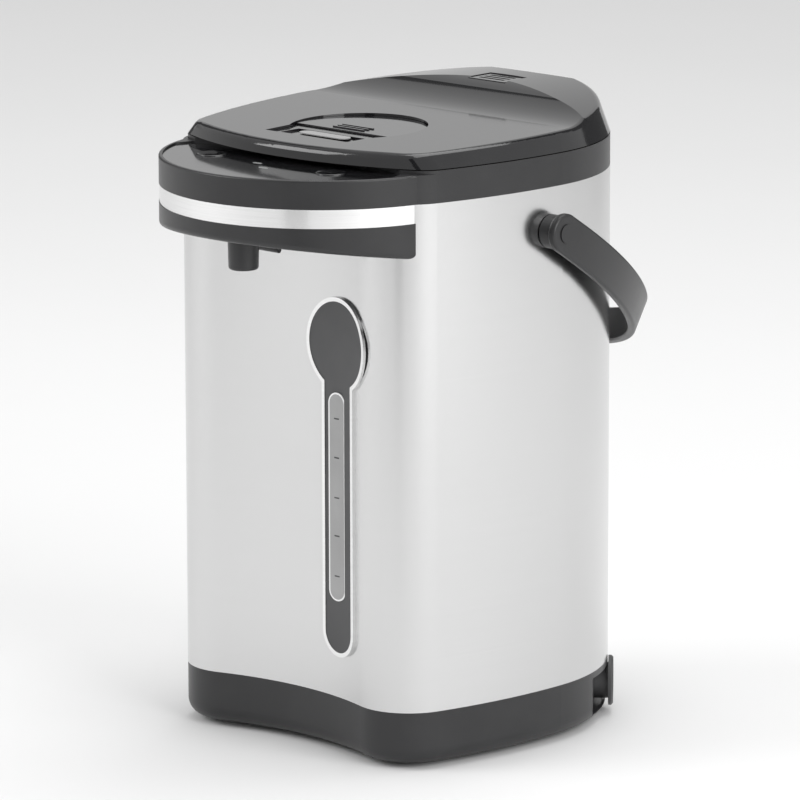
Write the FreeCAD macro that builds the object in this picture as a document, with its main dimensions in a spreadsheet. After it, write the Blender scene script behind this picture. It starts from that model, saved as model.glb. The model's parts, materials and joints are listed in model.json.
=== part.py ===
import FreeCAD, Part
import math
import os

import Sketcher
from FreeCAD import Placement, Rotation, Vector

# An electric thermo pot of about five litres. Origin at floor level on the pot's axis.
# The spout points to -Y, +X is the pot's right side seen from behind the spout, +Z is up.

doc = FreeCAD.newDocument("ThermoPot")
sheet = doc.addObject("Spreadsheet::Sheet", "Sizes")


class Size:
    """A number together with the sheet expression that gives it."""

    def __init__(self, value, text):
        self.value = value
        self.text = text

    def __add__(self, other):
        other = as_size(other)
        return Size(self.value + other.value, f"({self.text} + {other.text})")

    def __radd__(self, other):
        return as_size(other) + self

    def __sub__(self, other):
        other = as_size(other)
        return Size(self.value - other.value, f"({self.text} - {other.text})")

    def __rsub__(self, other):
        return as_size(other) - self

    def __mul__(self, other):
        other = as_size(other)
        return Size(self.value * other.value, f"({self.text} * {other.text})")

    def __rmul__(self, other):
        return as_size(other) * self

    def __truediv__(self, other):
        other = as_size(other)
        return Size(self.value / other.value, f"({self.text} / {other.text})")

    def __neg__(self):
        return Size(-self.value, f"(0 - {self.text})")


def as_size(item):
    """A plain number as a Size, and a Size as it is."""
    return item if isinstance(item, Size) else Size(float(item), repr(float(item)))


def root(size):
    """Square root."""
    return Size(math.sqrt(size.value), f"sqrt({size.text})")


def cosine(size):
    """Cosine of an angle in degrees."""
    return Size(math.cos(math.radians(size.value)), f"cos({size.text} * 1 deg)")


def sine(size):
    """Sine of an angle in degrees."""
    return Size(math.sin(math.radians(size.value)), f"sin({size.text} * 1 deg)")


sheet_rows = []


def cell(name, value):
    """One driving dimension in the sheet."""
    row = len(sheet_rows) + 1
    sheet_rows.append(name)
    sheet.set(f"A{row}", name)
    sheet.set(f"B{row}", str(value))
    sheet.setAlias(f"B{row}", name)
    return Size(float(value), f"Sizes.{name}")


# Plan of the pot
pot_radius = cell("pot_radius", 101.5)
side_radius = cell("side_radius", 296)
corner_depth = cell("corner_depth", 75.61)
corner_radius = cell("corner_radius", 29)
front_radius = cell("front_radius", 167)

# Heights, one above the other
foot_gap = cell("foot_gap", 2.5)
base_height = cell("base_height", 28.8)
steel_height = cell("steel_height", 270)
band_height = cell("band_height", 17)
lid_seam = cell("lid_seam", 0.5)

# Walls
base_wall = cell("base_wall", 3)
base_round = cell("base_round", 9)
steel_wall = cell("steel_wall", 0.8)
band_wall = cell("band_wall", 2.5)
skin_seam = cell("skin_seam", 0.2)
play = cell("play", 0.3)

base_top = foot_gap + base_height
steel_top = base_top + steel_height
band_top = steel_top + band_height

# Underside
cover_radius = cell("cover_radius", 66)
cover_thickness = cell("cover_thickness", 2)
cover_ledge = cell("cover_ledge", 6)
vent_slot_length = cell("vent_slot_length", 26)
vent_slot_width = cell("vent_slot_width", 3)
vent_slot_pitch = cell("vent_slot_pitch", 8)
foot_radius = cell("foot_radius", 7)
foot_height = cell("foot_height", 4.2)
front_foot_x = cell("front_foot_x", 60)
front_foot_y = cell("front_foot_y", 67)
rear_foot_reach = cell("rear_foot_reach", 57)
screw_radius = cell("screw_radius", 1.6)
screw_head_radius = cell("screw_head_radius", 3)
screw_length = cell("screw_length", 9)
screw_boss_radius = cell("screw_boss_radius", 2.9)

# Power inlet
inlet_azimuth = cell("inlet_azimuth", 40)
inlet_flat = cell("inlet_flat", 94)
inlet_centre_height = cell("inlet_centre_height", 17.3)
inlet_boss_radius = cell("inlet_boss_radius", 13.6)
inlet_neck_radius = cell("inlet_neck_radius", 9.8)
inlet_flange = cell("inlet_flange", 2.6)
inlet_boss_reach = cell("inlet_boss_reach", 104.5)
inlet_socket_radius = cell("inlet_socket_radius", 7.6)
inlet_socket_depth = cell("inlet_socket_depth", 11)
inlet_plate_height = cell("inlet_plate_height", 21)
inlet_plate_thickness = cell("inlet_plate_thickness", 4)
pin_radius = cell("pin_radius", 1.6)
pin_spacing = cell("pin_spacing", 9)
pin_length = cell("pin_length", 12)

# Beak
beak_radius = cell("beak_radius", 86.4)
beak_centre = cell("beak_centre", 74.5)
beak_wall = cell("beak_wall", 2.5)
trim_height = cell("trim_height", 9.9)
trim_thickness = cell("trim_thickness", 1.2)
tray_drop_front = cell("tray_drop_front", 19.4)
tray_drop_rear = cell("tray_drop_rear", 29)
tray_floor = cell("tray_floor", 2.5)
tray_round = cell("tray_round", 3)
beak_round = cell("beak_round", 1)
strap_round = cell("strap_round", 1.5)
panel_drop = cell("panel_drop", 2.8)
panel_thickness = cell("panel_thickness", 1.6)
panel_rim = cell("panel_rim", 2)
panel_rim_step = cell("panel_rim_step", 0.9)

# Controls on the panel
button_radius = cell("button_radius", 8.1)
button_x = cell("button_x", 42.7)
button_y = cell("button_y", 114)
button_proud = cell("button_proud", 0.6)
button_height = cell("button_height", 5)
button_travel = cell("button_travel", 1)
button_play = cell("button_play", 0.35)
lamp_half_length = cell("lamp_half_length", 3)
lamp_half_width = cell("lamp_half_width", 1.2)
lamp_y_first = cell("lamp_y_first", 118)
lamp_y_second = cell("lamp_y_second", 126)
lamp_x = cell("lamp_x", 6)

# Spout and lever
spout_reach = cell("spout_reach", 40.3)
spout_radius = cell("spout_radius", 8.4)
spout_taper = cell("spout_taper", 0.5)
spout_bottom_drop = cell("spout_bottom_drop", 38.6)
spout_bore = cell("spout_bore", 4)
lever_reach = cell("lever_reach", 21.3)
lever_width = cell("lever_width", 15)
lever_thickness = cell("lever_thickness", 3)
lever_tip_drop = cell("lever_tip_drop", 32)
lever_pivot_drop = cell("lever_pivot_drop", 14)
lever_pin_radius = cell("lever_pin_radius", 1.5)
running_clearance = cell("running_clearance", 0.06)

# Water gauge on the front
gauge_x = cell("gauge_x", 33.5)
gauge_head_radius = cell("gauge_head_radius", 25.4)
gauge_head_height = cell("gauge_head_height", 221.4)
gauge_stem_half = cell("gauge_stem_half", 13.5)
gauge_foot_height = cell("gauge_foot_height", 54)
gauge_proud = cell("gauge_proud", 1.8)
gauge_border = cell("gauge_border", 2.2)
gauge_recess = cell("gauge_recess", 0.4)
slot_half = cell("slot_half", 5)
slot_low = cell("slot_low", 85.3)
slot_high = cell("slot_high", 195.5)

# Liner, heater and pump
liner_gap = cell("liner_gap", 2)
liner_flange = cell("liner_flange", 4)
liner_wall = cell("liner_wall", 0.8)
liner_floor = cell("liner_floor", 64)
liner_bend = cell("liner_bend", 12)
mouth_lip = cell("mouth_lip", 5.5)
mouth_wall = cell("mouth_wall", 2.5)
heater_radius = cell("heater_radius", 60)
heater_thickness = cell("heater_thickness", 4.5)
thermostat_radius = cell("thermostat_radius", 8.5)
thermostat_height = cell("thermostat_height", 10)
shield_drop = cell("shield_drop", 8)
shield_wall = cell("shield_wall", 1)
pump_y = cell("pump_y", 30)
pump_radius = cell("pump_radius", 18)
pump_wall = cell("pump_wall", 2)
pump_floor = cell("pump_floor", 36)
pump_height = cell("pump_height", 12)
motor_radius = cell("motor_radius", 13)
motor_height = cell("motor_height", 26)
shaft_radius = cell("shaft_radius", 1.5)
impeller_radius = cell("impeller_radius", 13)
impeller_height = cell("impeller_height", 6)
pipe_radius = cell("pipe_radius", 4.5)
pipe_bore = cell("pipe_bore", 3.2)
hose_radius = cell("hose_radius", 6)
riser_set_back = cell("riser_set_back", 7.6)
pipe_bend = cell("pipe_bend", 10)
riser_foot = cell("riser_foot", 56)
riser_head_drop = cell("riser_head_drop", 7.3)
board_thickness = cell("board_thickness", 1.6)

# Lid
lid_corner_depth = cell("lid_corner_depth", 77.18)
lid_corner = cell("lid_corner", 16)
lid_front_radius = cell("lid_front_radius", 196)
lid_lean = cell("lid_lean", 16.8)
lid_lean_height = cell("lid_lean_height", 22)
lid_top_shift = cell("lid_top_shift", 13)
lid_top_corner_depth = cell("lid_top_corner_depth", 88.55)
lid_top_corner = cell("lid_top_corner", 24)
lid_wall = cell("lid_wall", 2.4)
lid_front_height = cell("lid_front_height", 6.2)
lid_plateau_height = cell("lid_plateau_height", 9.5)
lid_plateau_end = cell("lid_plateau_end", 15)
hump_foot_radius = cell("hump_foot_radius", 70)
hump_rise_y = cell("hump_rise_y", 46)
hump_rise_height = cell("hump_rise_height", 17.5)
hump_radius = cell("hump_radius", 62)
lid_rear_height = cell("lid_rear_height", 12)
lid_crown_height = cell("lid_crown_height", 21.2)
lid_crown_radius = cell("lid_crown_radius", 420)
lid_ceiling = cell("lid_ceiling", 3.2)
lid_rim_round = cell("lid_rim_round", 3.8)
vent_y = cell("vent_y", 62)
vent_half_x = cell("vent_half_x", 13)
vent_half_y = cell("vent_half_y", 9)
vent_height = cell("vent_height", 5)
vent_bar = cell("vent_bar", 2.2)

# Press plate, bellows and latch
press_radius = cell("press_radius", 36.2)
press_y = cell("press_y", 47.5)
press_gap = cell("press_gap", 0.6)
press_thickness = cell("press_thickness", 3.2)
latch_half = cell("latch_half", 30)
latch_front = cell("latch_front", 86)
latch_rear = cell("latch_rear", 60)
latch_thickness = cell("latch_thickness", 2)
latch_pin_radius = cell("latch_pin_radius", 0.7)
latch_hinge_back = cell("latch_hinge_back", 1.4)
bolt_half = cell("bolt_half", 9)
bolt_thickness = cell("bolt_thickness", 3)
bolt_tip_gap = cell("bolt_tip_gap", 0.9)
plug_gap = cell("plug_gap", 2.7)
plug_depth = cell("plug_depth", 24)
plug_wall = cell("plug_wall", 2)
bellows_gap = cell("bellows_gap", 2.3)
bellows_fold = cell("bellows_fold", 4)
bellows_folds = cell("bellows_folds", 5)
bellows_wall = cell("bellows_wall", 1)

# Lid hinge
hinge_y = cell("hinge_y", 93.2)
hinge_drop = cell("hinge_drop", 1.5)
hinge_pin_radius = cell("hinge_pin_radius", 1.5)
tongue_half = cell("tongue_half", 12)
hinge_ear = cell("hinge_ear", 5)
hinge_notch_half = root(pot_radius * pot_radius - hinge_y * hinge_y) + 1
knuckle_radius = cell("knuckle_radius", 4)
hinge_ear_rear = cell("hinge_ear_rear", 2.5)

# Handle
pivot_y = cell("pivot_y", 9.5)
pivot_drop = cell("pivot_drop", 23.3)
strap_tilt = cell("strap_tilt", 32)
strap_gap = cell("strap_gap", 6.9)
strap_width = cell("strap_width", 20.8)
strap_thickness = cell("strap_thickness", 4.6)
strap_half_span = pot_radius + strap_gap + strap_thickness
strap_reach = cell("strap_reach", 145)
strap_rear_radius = cell("strap_rear_radius", 100)
stud_radius = cell("stud_radius", 5)
stud_flange = cell("stud_flange", 9)

doc.recompute()

EXPORTS = []


def bind(item, prop, size):
    """Bind one property of an object to the sheet."""
    size = as_size(size)
    item.setExpression(prop, size.text)


def keep(item, name):
    """Name a sub-part and put it on the list of nodes."""
    item.Label = name
    EXPORTS.append(item)
    return item


def new_body(name):
    """An empty PartDesign body."""
    return doc.addObject("PartDesign::Body", name)


def origin_plane(body, role):
    """One of the body's own origin planes."""
    for feature in body.Origin.OriginFeatures:
        if feature.Role == role:
            return feature
    raise ValueError(role)


def new_sketch(body, role="XY_Plane", height=0.0, name="Profile"):
    """A sketch on one of the body's planes, lifted along the plane's normal."""
    sketch = body.newObject("Sketcher::SketchObject", name)
    sketch.AttachmentSupport = [(origin_plane(body, role), "")]
    sketch.MapMode = "FlatFace"
    height = as_size(height)
    sketch.AttachmentOffset = Placement(Vector(0, 0, height.value), Rotation())
    bind(sketch, "AttachmentOffset.Base.z", height)
    return sketch


def arc_between(start, end, radius, left):
    """A minor arc from start to end whose centre is left or right of the way."""
    chord = end - start
    half = chord.Length / 2
    rise = math.sqrt(max(radius * radius - half * half, 0.0))
    side = Vector(-chord.y, chord.x, 0).normalize()
    centre = (start + end) * 0.5 + side * (rise if left else -rise)
    first = math.atan2(start.y - centre.y, start.x - centre.x)
    last = math.atan2(end.y - centre.y, end.x - centre.x)
    circle = Part.Circle(centre, Vector(0, 0, 1), radius)
    if left:
        return Part.ArcOfCircle(circle, first, last)
    return Part.ArcOfCircle(circle, last, first)


def fix_point(sketch, geometry, place, point):
    """Hold one end of a line or arc at a place given by two sizes."""
    for kind, size, axis in (("DistanceX", point[0], -2), ("DistanceY", point[1], -1)):
        if abs(size.value) < 1e-9:
            sketch.addConstraint(Sketcher.Constraint("PointOnObject", geometry, place, axis))
            continue
        item = Sketcher.Constraint(kind, -1, 1, geometry, place, size.value)
        index = sketch.addConstraint(item)
        sketch.setExpression(f"Constraints[{index}]", size.text)


def draw_loop(sketch, points, curves=None):
    """A closed loop through points. A curve is (index, radius, left) of the run that starts at index."""
    points = [(as_size(x), as_size(y)) for x, y in points]
    curves = {index: (as_size(radius), left) for index, radius, left in (curves or [])}
    ends = []
    for index, point in enumerate(points):
        following = points[(index + 1) % len(points)]
        start = Vector(point[0].value, point[1].value, 0)
        end = Vector(following[0].value, following[1].value, 0)
        if index not in curves:
            geometry = sketch.addGeometry(Part.LineSegment(start, end))
            ends.append((geometry, 1, 2))
            continue
        radius, left = curves[index]
        geometry = sketch.addGeometry(arc_between(start, end, radius.value, left))
        ends.append((geometry, 1, 2) if left else (geometry, 2, 1))
    for index, (geometry, first, last) in enumerate(ends):
        following = ends[(index + 1) % len(ends)]
        sketch.addConstraint(Sketcher.Constraint("Coincident", geometry, last, following[0], following[1]))
    for index, point in enumerate(points):
        fix_point(sketch, ends[index][0], ends[index][1], point)
    for index, (radius, left) in curves.items():
        item = Sketcher.Constraint("Radius", ends[index][0], radius.value)
        number = sketch.addConstraint(item)
        sketch.setExpression(f"Constraints[{number}]", radius.text)


def draw_circle(sketch, x, y, radius):
    """A full circle with its centre and radius bound to the sheet."""
    x = as_size(x)
    y = as_size(y)
    radius = as_size(radius)
    circle = Part.Circle(Vector(x.value, y.value, 0), Vector(0, 0, 1), radius.value)
    geometry = sketch.addGeometry(circle)
    fix_point(sketch, geometry, 3, (x, y))
    number = sketch.addConstraint(Sketcher.Constraint("Radius", geometry, radius.value))
    sketch.setExpression(f"Constraints[{number}]", radius.text)


def draw_box(sketch, x_low, x_high, y_low, y_high):
    """A rectangle."""
    draw_loop(sketch, [(x_low, y_low), (x_high, y_low), (x_high, y_high), (x_low, y_high)])


def pad(body, sketch, length, name="Pad", reverse=False, symmetric=False):
    """Extrude a sketch and add it to the body."""
    feature = body.newObject("PartDesign::Pad", name)
    feature.Profile = sketch
    feature.Length = as_size(length).value
    bind(feature, "Length", length)
    feature.Reversed = reverse
    if symmetric:
        feature.SideType = "Symmetric"
    return feature


volume_error = 0.0001


def pocket(body, sketch, length, name="Pocket", reverse=False, symmetric=False):
    """Extrude a sketch and take it away, and make sure that it takes something away."""
    before = body.Tip.Shape.Volume if body.Tip.Shape.Volume > 0 else recomputed(body).Shape.Volume
    feature = body.newObject("PartDesign::Pocket", name)
    feature.Profile = sketch
    feature.Length = as_size(length).value
    bind(feature, "Length", length)
    feature.Reversed = reverse
    if symmetric:
        feature.SideType = "Symmetric"
    doc.recompute()
    if feature.Shape.Volume >= before * (1 + volume_error):
        raise ValueError(f"{body.Name}: {name} removes nothing")
    return feature


def recomputed(body):
    """The body's tip after a recompute."""
    doc.recompute()
    return body.Tip


def revolve(body, sketch, name="Revolution"):
    """Turn a half section, drawn on the XZ plane, about the pot's upright axis."""
    feature = body.newObject("PartDesign::Revolution", name)
    feature.Profile = sketch
    feature.ReferenceAxis = (sketch, ["V_Axis"])
    feature.Angle = 360
    return feature


def place(body, x=0.0, y=0.0, z=0.0):
    """Move a body to its place."""
    for axis, size in (("x", x), ("y", y), ("z", z)):
        size = as_size(size)
        bind(body, f"Placement.Base.{axis}", size)


def turned(name, section, curves=None, x=0.0, y=0.0, z=0.0):
    """A sub-part turned from a half section of (radius, height) points."""
    body = new_body(name)
    sketch = new_sketch(body, "XZ_Plane")
    draw_loop(sketch, section, curves)
    revolve(body, sketch)
    place(body, x, y, z)
    return keep(body, name)


def round_edges(body, picker, radius, name="Fillet"):
    """Round the edges of the body's tip that the picker accepts."""
    doc.recompute()
    base = body.Tip
    edges = [f"Edge{i + 1}" for i, edge in enumerate(base.Shape.Edges) if picker(edge)]
    if not edges:
        raise ValueError(f"{body.Name}: no edge to round")
    feature = body.newObject("PartDesign::Fillet", name)
    feature.Base = (base, edges)
    feature.Radius = as_size(radius).value
    bind(feature, "Radius", radius)
    return feature


def flat_at(height):
    """Picks edges that lie wholly at one height."""
    def picker(edge):
        box = edge.BoundBox
        return abs(box.ZMin - height.value) < 0.01 and abs(box.ZMax - height.value) < 0.01
    return picker


def egg_outline(rear, side, depth, corner, front, inset, convex):
    """Plan of the pot or of the lid: a half circle behind, two long side arcs, two corners and a front arc."""
    lean = side - rear
    side_r = side - inset
    corner_r = corner - inset
    turn = depth / (side - corner)
    ahead = root(as_size(1) - turn * turn)
    x_corner = (side - corner) * ahead - lean
    y_corner = -depth
    reach = (front - corner) if convex else (front + corner)
    drop = root(reach * reach - x_corner * x_corner)
    y_front = y_corner + drop if convex else y_corner - drop
    across = x_corner / reach if convex else -(x_corner / reach)
    along = -(drop / reach)
    x_one = side_r * ahead - lean
    y_one = -(side_r * turn)
    x_two = x_corner + corner_r * across
    y_two = y_corner + corner_r * along
    front_r = front - inset if convex else front + inset
    rear_r = rear - inset
    zero = as_size(0)
    points = [(rear_r, zero), (zero, rear_r), (-rear_r, zero), (-x_one, y_one), (-x_two, y_two),
              (x_two, y_two), (x_one, y_one)]
    curves = [(0, rear_r, True), (1, rear_r, True), (2, side_r, True), (3, corner_r, True),
              (4, front_r, convex), (5, corner_r, True), (6, side_r, True)]
    return points, curves, y_front


def pot_outline(sketch, inset):
    """The pot's plan, inset all round."""
    points, curves, unused = egg_outline(
        pot_radius, side_radius, corner_depth, corner_radius, front_radius, as_size(inset), False)
    draw_loop(sketch, points, curves)


def front_centre():
    """Y of the centre of the concave front."""
    return egg_outline(
        pot_radius, side_radius, corner_depth, corner_radius, front_radius, as_size(0), False)[2]


def lid_outline(sketch, inset, top=False):
    """The lid's plan at its seam, or at its top edge, inset all round."""
    inset = as_size(inset)
    rear = pot_radius - skin_seam
    if top:
        points, curves, unused = egg_outline(
            rear - lid_lean, side_radius, lid_top_corner_depth, lid_top_corner, lid_front_radius, inset, True)
    else:
        points, curves, unused = egg_outline(
            rear, side_radius, lid_corner_depth, lid_corner, lid_front_radius, inset, True)
    draw_loop(sketch, points, curves)


front_wall = -(front_centre() + front_radius)
press_hole = press_radius + press_gap
latch_hinge_y = latch_rear + latch_hinge_back
latch_pin_end = root(press_hole * press_hole - (latch_hinge_y - press_y) * (latch_hinge_y - press_y)) + 2
spout_y = front_wall + spout_reach
lever_y = front_wall + lever_reach
riser_depth = front_centre() + root(front_radius * front_radius - gauge_x * gauge_x) + riser_set_back
riser_distance = root(riser_depth * riser_depth + gauge_x * gauge_x)
liner_radius = riser_distance - pipe_radius - liner_flange - liner_gap
mouth_radius = liner_radius - mouth_lip
plug_radius = mouth_radius - plug_gap
bellows_radius = plug_radius - plug_wall - press_y - bellows_gap

# Parts of the base


def foot_places():
    """Plan places of the four feet."""
    return [(front_foot_x, -front_foot_y), (-front_foot_x, -front_foot_y),
            (rear_foot_reach, rear_foot_reach), (-rear_foot_reach, rear_foot_reach)]


def screw_places():
    """Plan places of the four bottom screws, in the ledge under the bottom cover."""
    reach = cover_radius - cover_ledge / 2
    return [(reach, 0), (0, reach), (-reach, 0), (0, -reach)]


def turned_point(radial, across):
    """Plan point at a distance along the inlet's direction and across it."""
    x = radial * cosine(inlet_azimuth) - across * sine(inlet_azimuth)
    y = radial * sine(inlet_azimuth) + across * cosine(inlet_azimuth)
    return x, y


def make_base_shell():
    body = new_body("base_shell")
    sketch = new_sketch(body, height=foot_gap)
    pot_outline(sketch, 0)
    pad(body, sketch, base_height)
    round_edges(body, flat_at(foot_gap), base_round)
    doc.recompute()
    inside = new_sketch(body, height=base_top, name="Inside")
    pot_outline(inside, base_wall)
    pocket(body, inside, base_height - base_wall, "Hollow")
    opening = new_sketch(body, height=foot_gap, name="Opening")
    draw_circle(opening, 0, 0, cover_radius - cover_ledge)
    pocket(body, opening, base_wall * 2, "BottomOpening", symmetric=True)
    rebate = new_sketch(body, height=foot_gap, name="Rebate")
    draw_circle(rebate, 0, 0, cover_radius + play)
    pocket(body, rebate, cover_thickness, "CoverRebate", reverse=True)
    bosses = new_sketch(body, height=foot_gap + cover_thickness, name="ScrewBosses")
    for x, y in screw_places():
        draw_circle(bosses, x, y, screw_boss_radius)
    pad(body, bosses, screw_length, "ScrewBossPad")
    doc.recompute()
    bores = new_sketch(body, height=foot_gap + cover_thickness, name="ScrewBores")
    for x, y in screw_places():
        draw_circle(bores, x, y, screw_radius + running_clearance)
    pocket(body, bores, screw_length * 2, "ScrewBore", symmetric=True)
    feet = new_sketch(body, height=foot_gap, name="FootSeats")
    for x, y in foot_places():
        draw_circle(feet, x, y, foot_radius)
    pocket(body, feet, foot_height - foot_gap, "FootSeat", reverse=True)
    flat = new_sketch(body, height=inlet_centre_height - inlet_plate_height / 2, name="InletFlat")
    reach = pot_radius * 1.2
    half = root(pot_radius * pot_radius - inlet_flat * inlet_flat) + 1
    draw_loop(flat, [turned_point(inlet_flat, -half), turned_point(reach, -half),
                     turned_point(reach, half), turned_point(inlet_flat, half)])
    pocket(body, flat, inlet_plate_height, "InletFlatCut", reverse=True)
    return keep(body, "base_shell")


def make_bottom_cover():
    body = new_body("bottom_cover")
    sketch = new_sketch(body, height=foot_gap)
    draw_circle(sketch, 0, 0, cover_radius)
    pad(body, sketch, cover_thickness)
    doc.recompute()
    slot = new_sketch(body, height=foot_gap, name="Slot")
    draw_box(slot, -vent_slot_length / 2, vent_slot_length / 2, -vent_slot_pitch * 2,
             vent_slot_width - vent_slot_pitch * 2)
    cut = pocket(body, slot, cover_thickness * 2, "VentSlot", symmetric=True)
    rows = body.newObject("PartDesign::LinearPattern", "VentSlots")
    rows.Originals = [cut]
    rows.Direction = (slot, ["V_Axis"])
    rows.Length = (vent_slot_pitch * 4).value
    bind(rows, "Length", vent_slot_pitch * 4)
    rows.Occurrences = 5
    body.Tip = rows
    doc.recompute()
    holes = new_sketch(body, height=foot_gap, name="ScrewHoles")
    for x, y in screw_places():
        draw_circle(holes, x, y, screw_radius + play)
    pocket(body, holes, cover_thickness * 2, "ScrewHole", symmetric=True)
    return keep(body, "bottom_cover")


def group(name, pieces):
    """Several separate solids under one name."""
    compound = doc.addObject("Part::Compound", name)
    compound.Links = pieces
    return keep(compound, name)


def make_feet():
    feet = []
    for index, (x, y) in enumerate(foot_places()):
        foot = doc.addObject("Part::Cylinder", f"foot_{index + 1}")
        bind(foot, "Radius", foot_radius)
        bind(foot, "Height", foot_height)
        place(foot, x, y, 0)
        feet.append(foot)
    return group("rubber_feet", feet)


def make_bottom_screws():
    screws = []
    for index, (x, y) in enumerate(screw_places()):
        screw = new_body(f"bottom_screw_{index + 1}")
        sketch = new_sketch(screw, "XZ_Plane")
        head = cover_thickness / 2
        draw_loop(sketch, [(0, -head), (screw_head_radius, -head), (screw_head_radius, 0), (screw_radius, 0),
                           (screw_radius, screw_length), (0, screw_length)])
        revolve(screw, sketch)
        place(screw, x, y, foot_gap)
        screws.append(screw)
    return group("bottom_screws", screws)


def radial_body(name, section, height):
    """A body turned about the inlet's axis from (distance, radius) points."""
    body = new_body(name)
    sketch = new_sketch(body, "XZ_Plane")
    draw_loop(sketch, section)
    feature = body.newObject("PartDesign::Revolution", "Turned")
    feature.Profile = sketch
    feature.ReferenceAxis = (sketch, ["H_Axis"])
    feature.Angle = 360
    return body


def make_inlet_housing():
    body = new_body("inlet_housing")
    inner = pot_radius - base_wall - play
    front_half = root(inner * inner - inlet_flat * inlet_flat)
    back = inlet_flat - inlet_plate_thickness
    back_half = root(inner * inner - back * back) - 1
    sketch = new_sketch(body, height=-(inlet_plate_height / 2) + play)
    draw_loop(sketch, [(back, -back_half), (inlet_flat, -front_half), (inlet_flat, front_half), (back, back_half)])
    pad(body, sketch, inlet_plate_height - play * 2)
    doc.recompute()
    neck_end = inlet_boss_reach - inlet_flange
    turned_sketch = new_sketch(body, "XZ_Plane", name="Boss")
    draw_loop(turned_sketch, [(back, 0), (inlet_boss_reach, 0), (inlet_boss_reach, inlet_boss_radius - 1),
                              (inlet_boss_reach - 1, inlet_boss_radius), (neck_end, inlet_boss_radius),
                              (neck_end, inlet_neck_radius), (back, inlet_neck_radius)])
    feature = body.newObject("PartDesign::Revolution", "BossTurned")
    feature.Profile = turned_sketch
    feature.ReferenceAxis = (turned_sketch, ["H_Axis"])
    feature.Angle = 360
    doc.recompute()
    socket = new_sketch(body, "YZ_Plane", height=inlet_boss_reach, name="Socket")
    draw_circle(socket, 0, 0, inlet_socket_radius)
    pocket(body, socket, inlet_socket_depth, "SocketBore")
    pins = new_sketch(body, "YZ_Plane", height=inlet_boss_reach, name="PinHoles")
    for side in (-1, 0, 1):
        draw_circle(pins, pin_spacing / 2 * side, 0, pin_radius)
    pocket(body, pins, inlet_boss_reach - back + 1, "PinHole")
    seat_inlet(body)
    return keep(body, "inlet_housing")


def seat_inlet(body):
    """Turn an inlet piece to the inlet's direction and lift it to its height."""
    body.Placement = Placement(Vector(0, 0, 0), Rotation(Vector(0, 0, 1), inlet_azimuth.value))
    bind(body, "Placement.Base.z", inlet_centre_height)
    bind(body, "Placement.Rotation.Angle", inlet_azimuth)


def make_inlet_pins():
    pins = []
    for side in (-1, 0, 1):
        pin = new_body(f"inlet_pin_{side + 2}")
        sketch = new_sketch(pin, "YZ_Plane", height=inlet_flat - inlet_plate_thickness)
        draw_circle(sketch, pin_spacing / 2 * side, 0, pin_radius)
        pad(pin, sketch, pin_length)
        seat_inlet(pin)
        pins.append(pin)
    return group("inlet_pins", pins)


# Steel shell, upper band and beak


def make_steel_shell():
    body = new_body("steel_shell")
    sketch = new_sketch(body, height=base_top)
    pot_outline(sketch, 0)
    pot_outline(sketch, steel_wall)
    pad(body, sketch, steel_height)
    doc.recompute()
    slot = new_sketch(body, "XZ_Plane", name="GaugeSlot")
    stadium(slot, gauge_x, slot_low + slot_half, slot_high - slot_half, slot_half - 1)
    pocket(body, slot, pot_radius * 2, "GaugeSlotCut", reverse=True)
    notch = new_sketch(body, "XZ_Plane", name="PipeNotch")
    half = pipe_radius * 2
    draw_box(notch, gauge_x - half * 2, gauge_x + half, steel_top - riser_head_drop - half, steel_top + 1)
    pocket(body, notch, pot_radius * 2, "PipeNotchCut", reverse=True)
    studs = new_sketch(body, "YZ_Plane", name="StudHoles")
    draw_circle(studs, -pivot_y, steel_top - pivot_drop, stud_radius + running_clearance)
    pocket(body, studs, pot_radius * 3, "StudHole", symmetric=True)
    return keep(body, "steel_shell")


def on_beak(low, high):
    """Picks edges that run along the beak's round wall between two heights."""
    def picker(edge):
        middle = edge.valueAt((edge.FirstParameter + edge.LastParameter) / 2)
        reach = math.hypot(middle.x, middle.y + beak_centre.value)
        level = abs(edge.tangentAt(edge.FirstParameter).z) < 0.5
        return abs(reach - beak_radius.value) < 0.05 and low.value < middle.z < high.value and level
    return picker


def stadium(sketch, x, low, high, half):
    """An upright slot with round ends whose centres are at the low and the high height."""
    draw_loop(sketch, [(x + half, low), (x + half, high), (x, high + half), (x - half, high),
                       (x - half, low), (x, low - half)],
              [(1, half, True), (2, half, True), (4, half, True), (5, half, True)])


def beak_lens(sketch, rim, gap, tip):
    """Plan of the panel: the beak's round front and the lid's front arc, with clipped tips."""
    outer = beak_radius - rim
    inner = lid_front_radius + gap
    lid_centre = egg_outline(pot_radius - skin_seam, side_radius, lid_corner_depth, lid_corner, lid_front_radius,
                             as_size(0), True)[2]
    inner_x = tip
    inner_y = lid_centre - root(inner * inner - inner_x * inner_x)
    outer_x = tip + 3.5
    outer_y = -beak_centre - root(outer * outer - outer_x * outer_x)
    draw_loop(sketch, [(outer_x, outer_y), (inner_x, inner_y), (-inner_x, inner_y), (-outer_x, outer_y),
                       (0, -beak_centre - outer)],
              [(1, inner, True), (3, outer, True), (4, outer, True)])


def button_places():
    """Plan places of the two buttons."""
    return [(button_x, -button_y), (-button_x, -button_y)]


def lamp_places():
    """Plan places of the two indicator windows."""
    return [(-lamp_x, -lamp_y_first), (lamp_x, -lamp_y_second)]


def lamp_outline(sketch, x, y, extra):
    """A window lying across the beak, with round ends."""
    half = lamp_half_width + extra
    run = lamp_half_length - lamp_half_width
    draw_loop(sketch, [(x + run, y - half), (x + run + half, y), (x + run, y + half), (x - run, y + half),
                       (x - run - half, y), (x - run, y - half)],
              [(0, half, True), (1, half, True), (3, half, True), (4, half, True)])


panel_top = band_top - panel_drop
panel_seat = panel_top - panel_thickness
panel_tip = cell("panel_tip", 75)
seat_floor = cell("seat_floor", 2.5)


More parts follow.
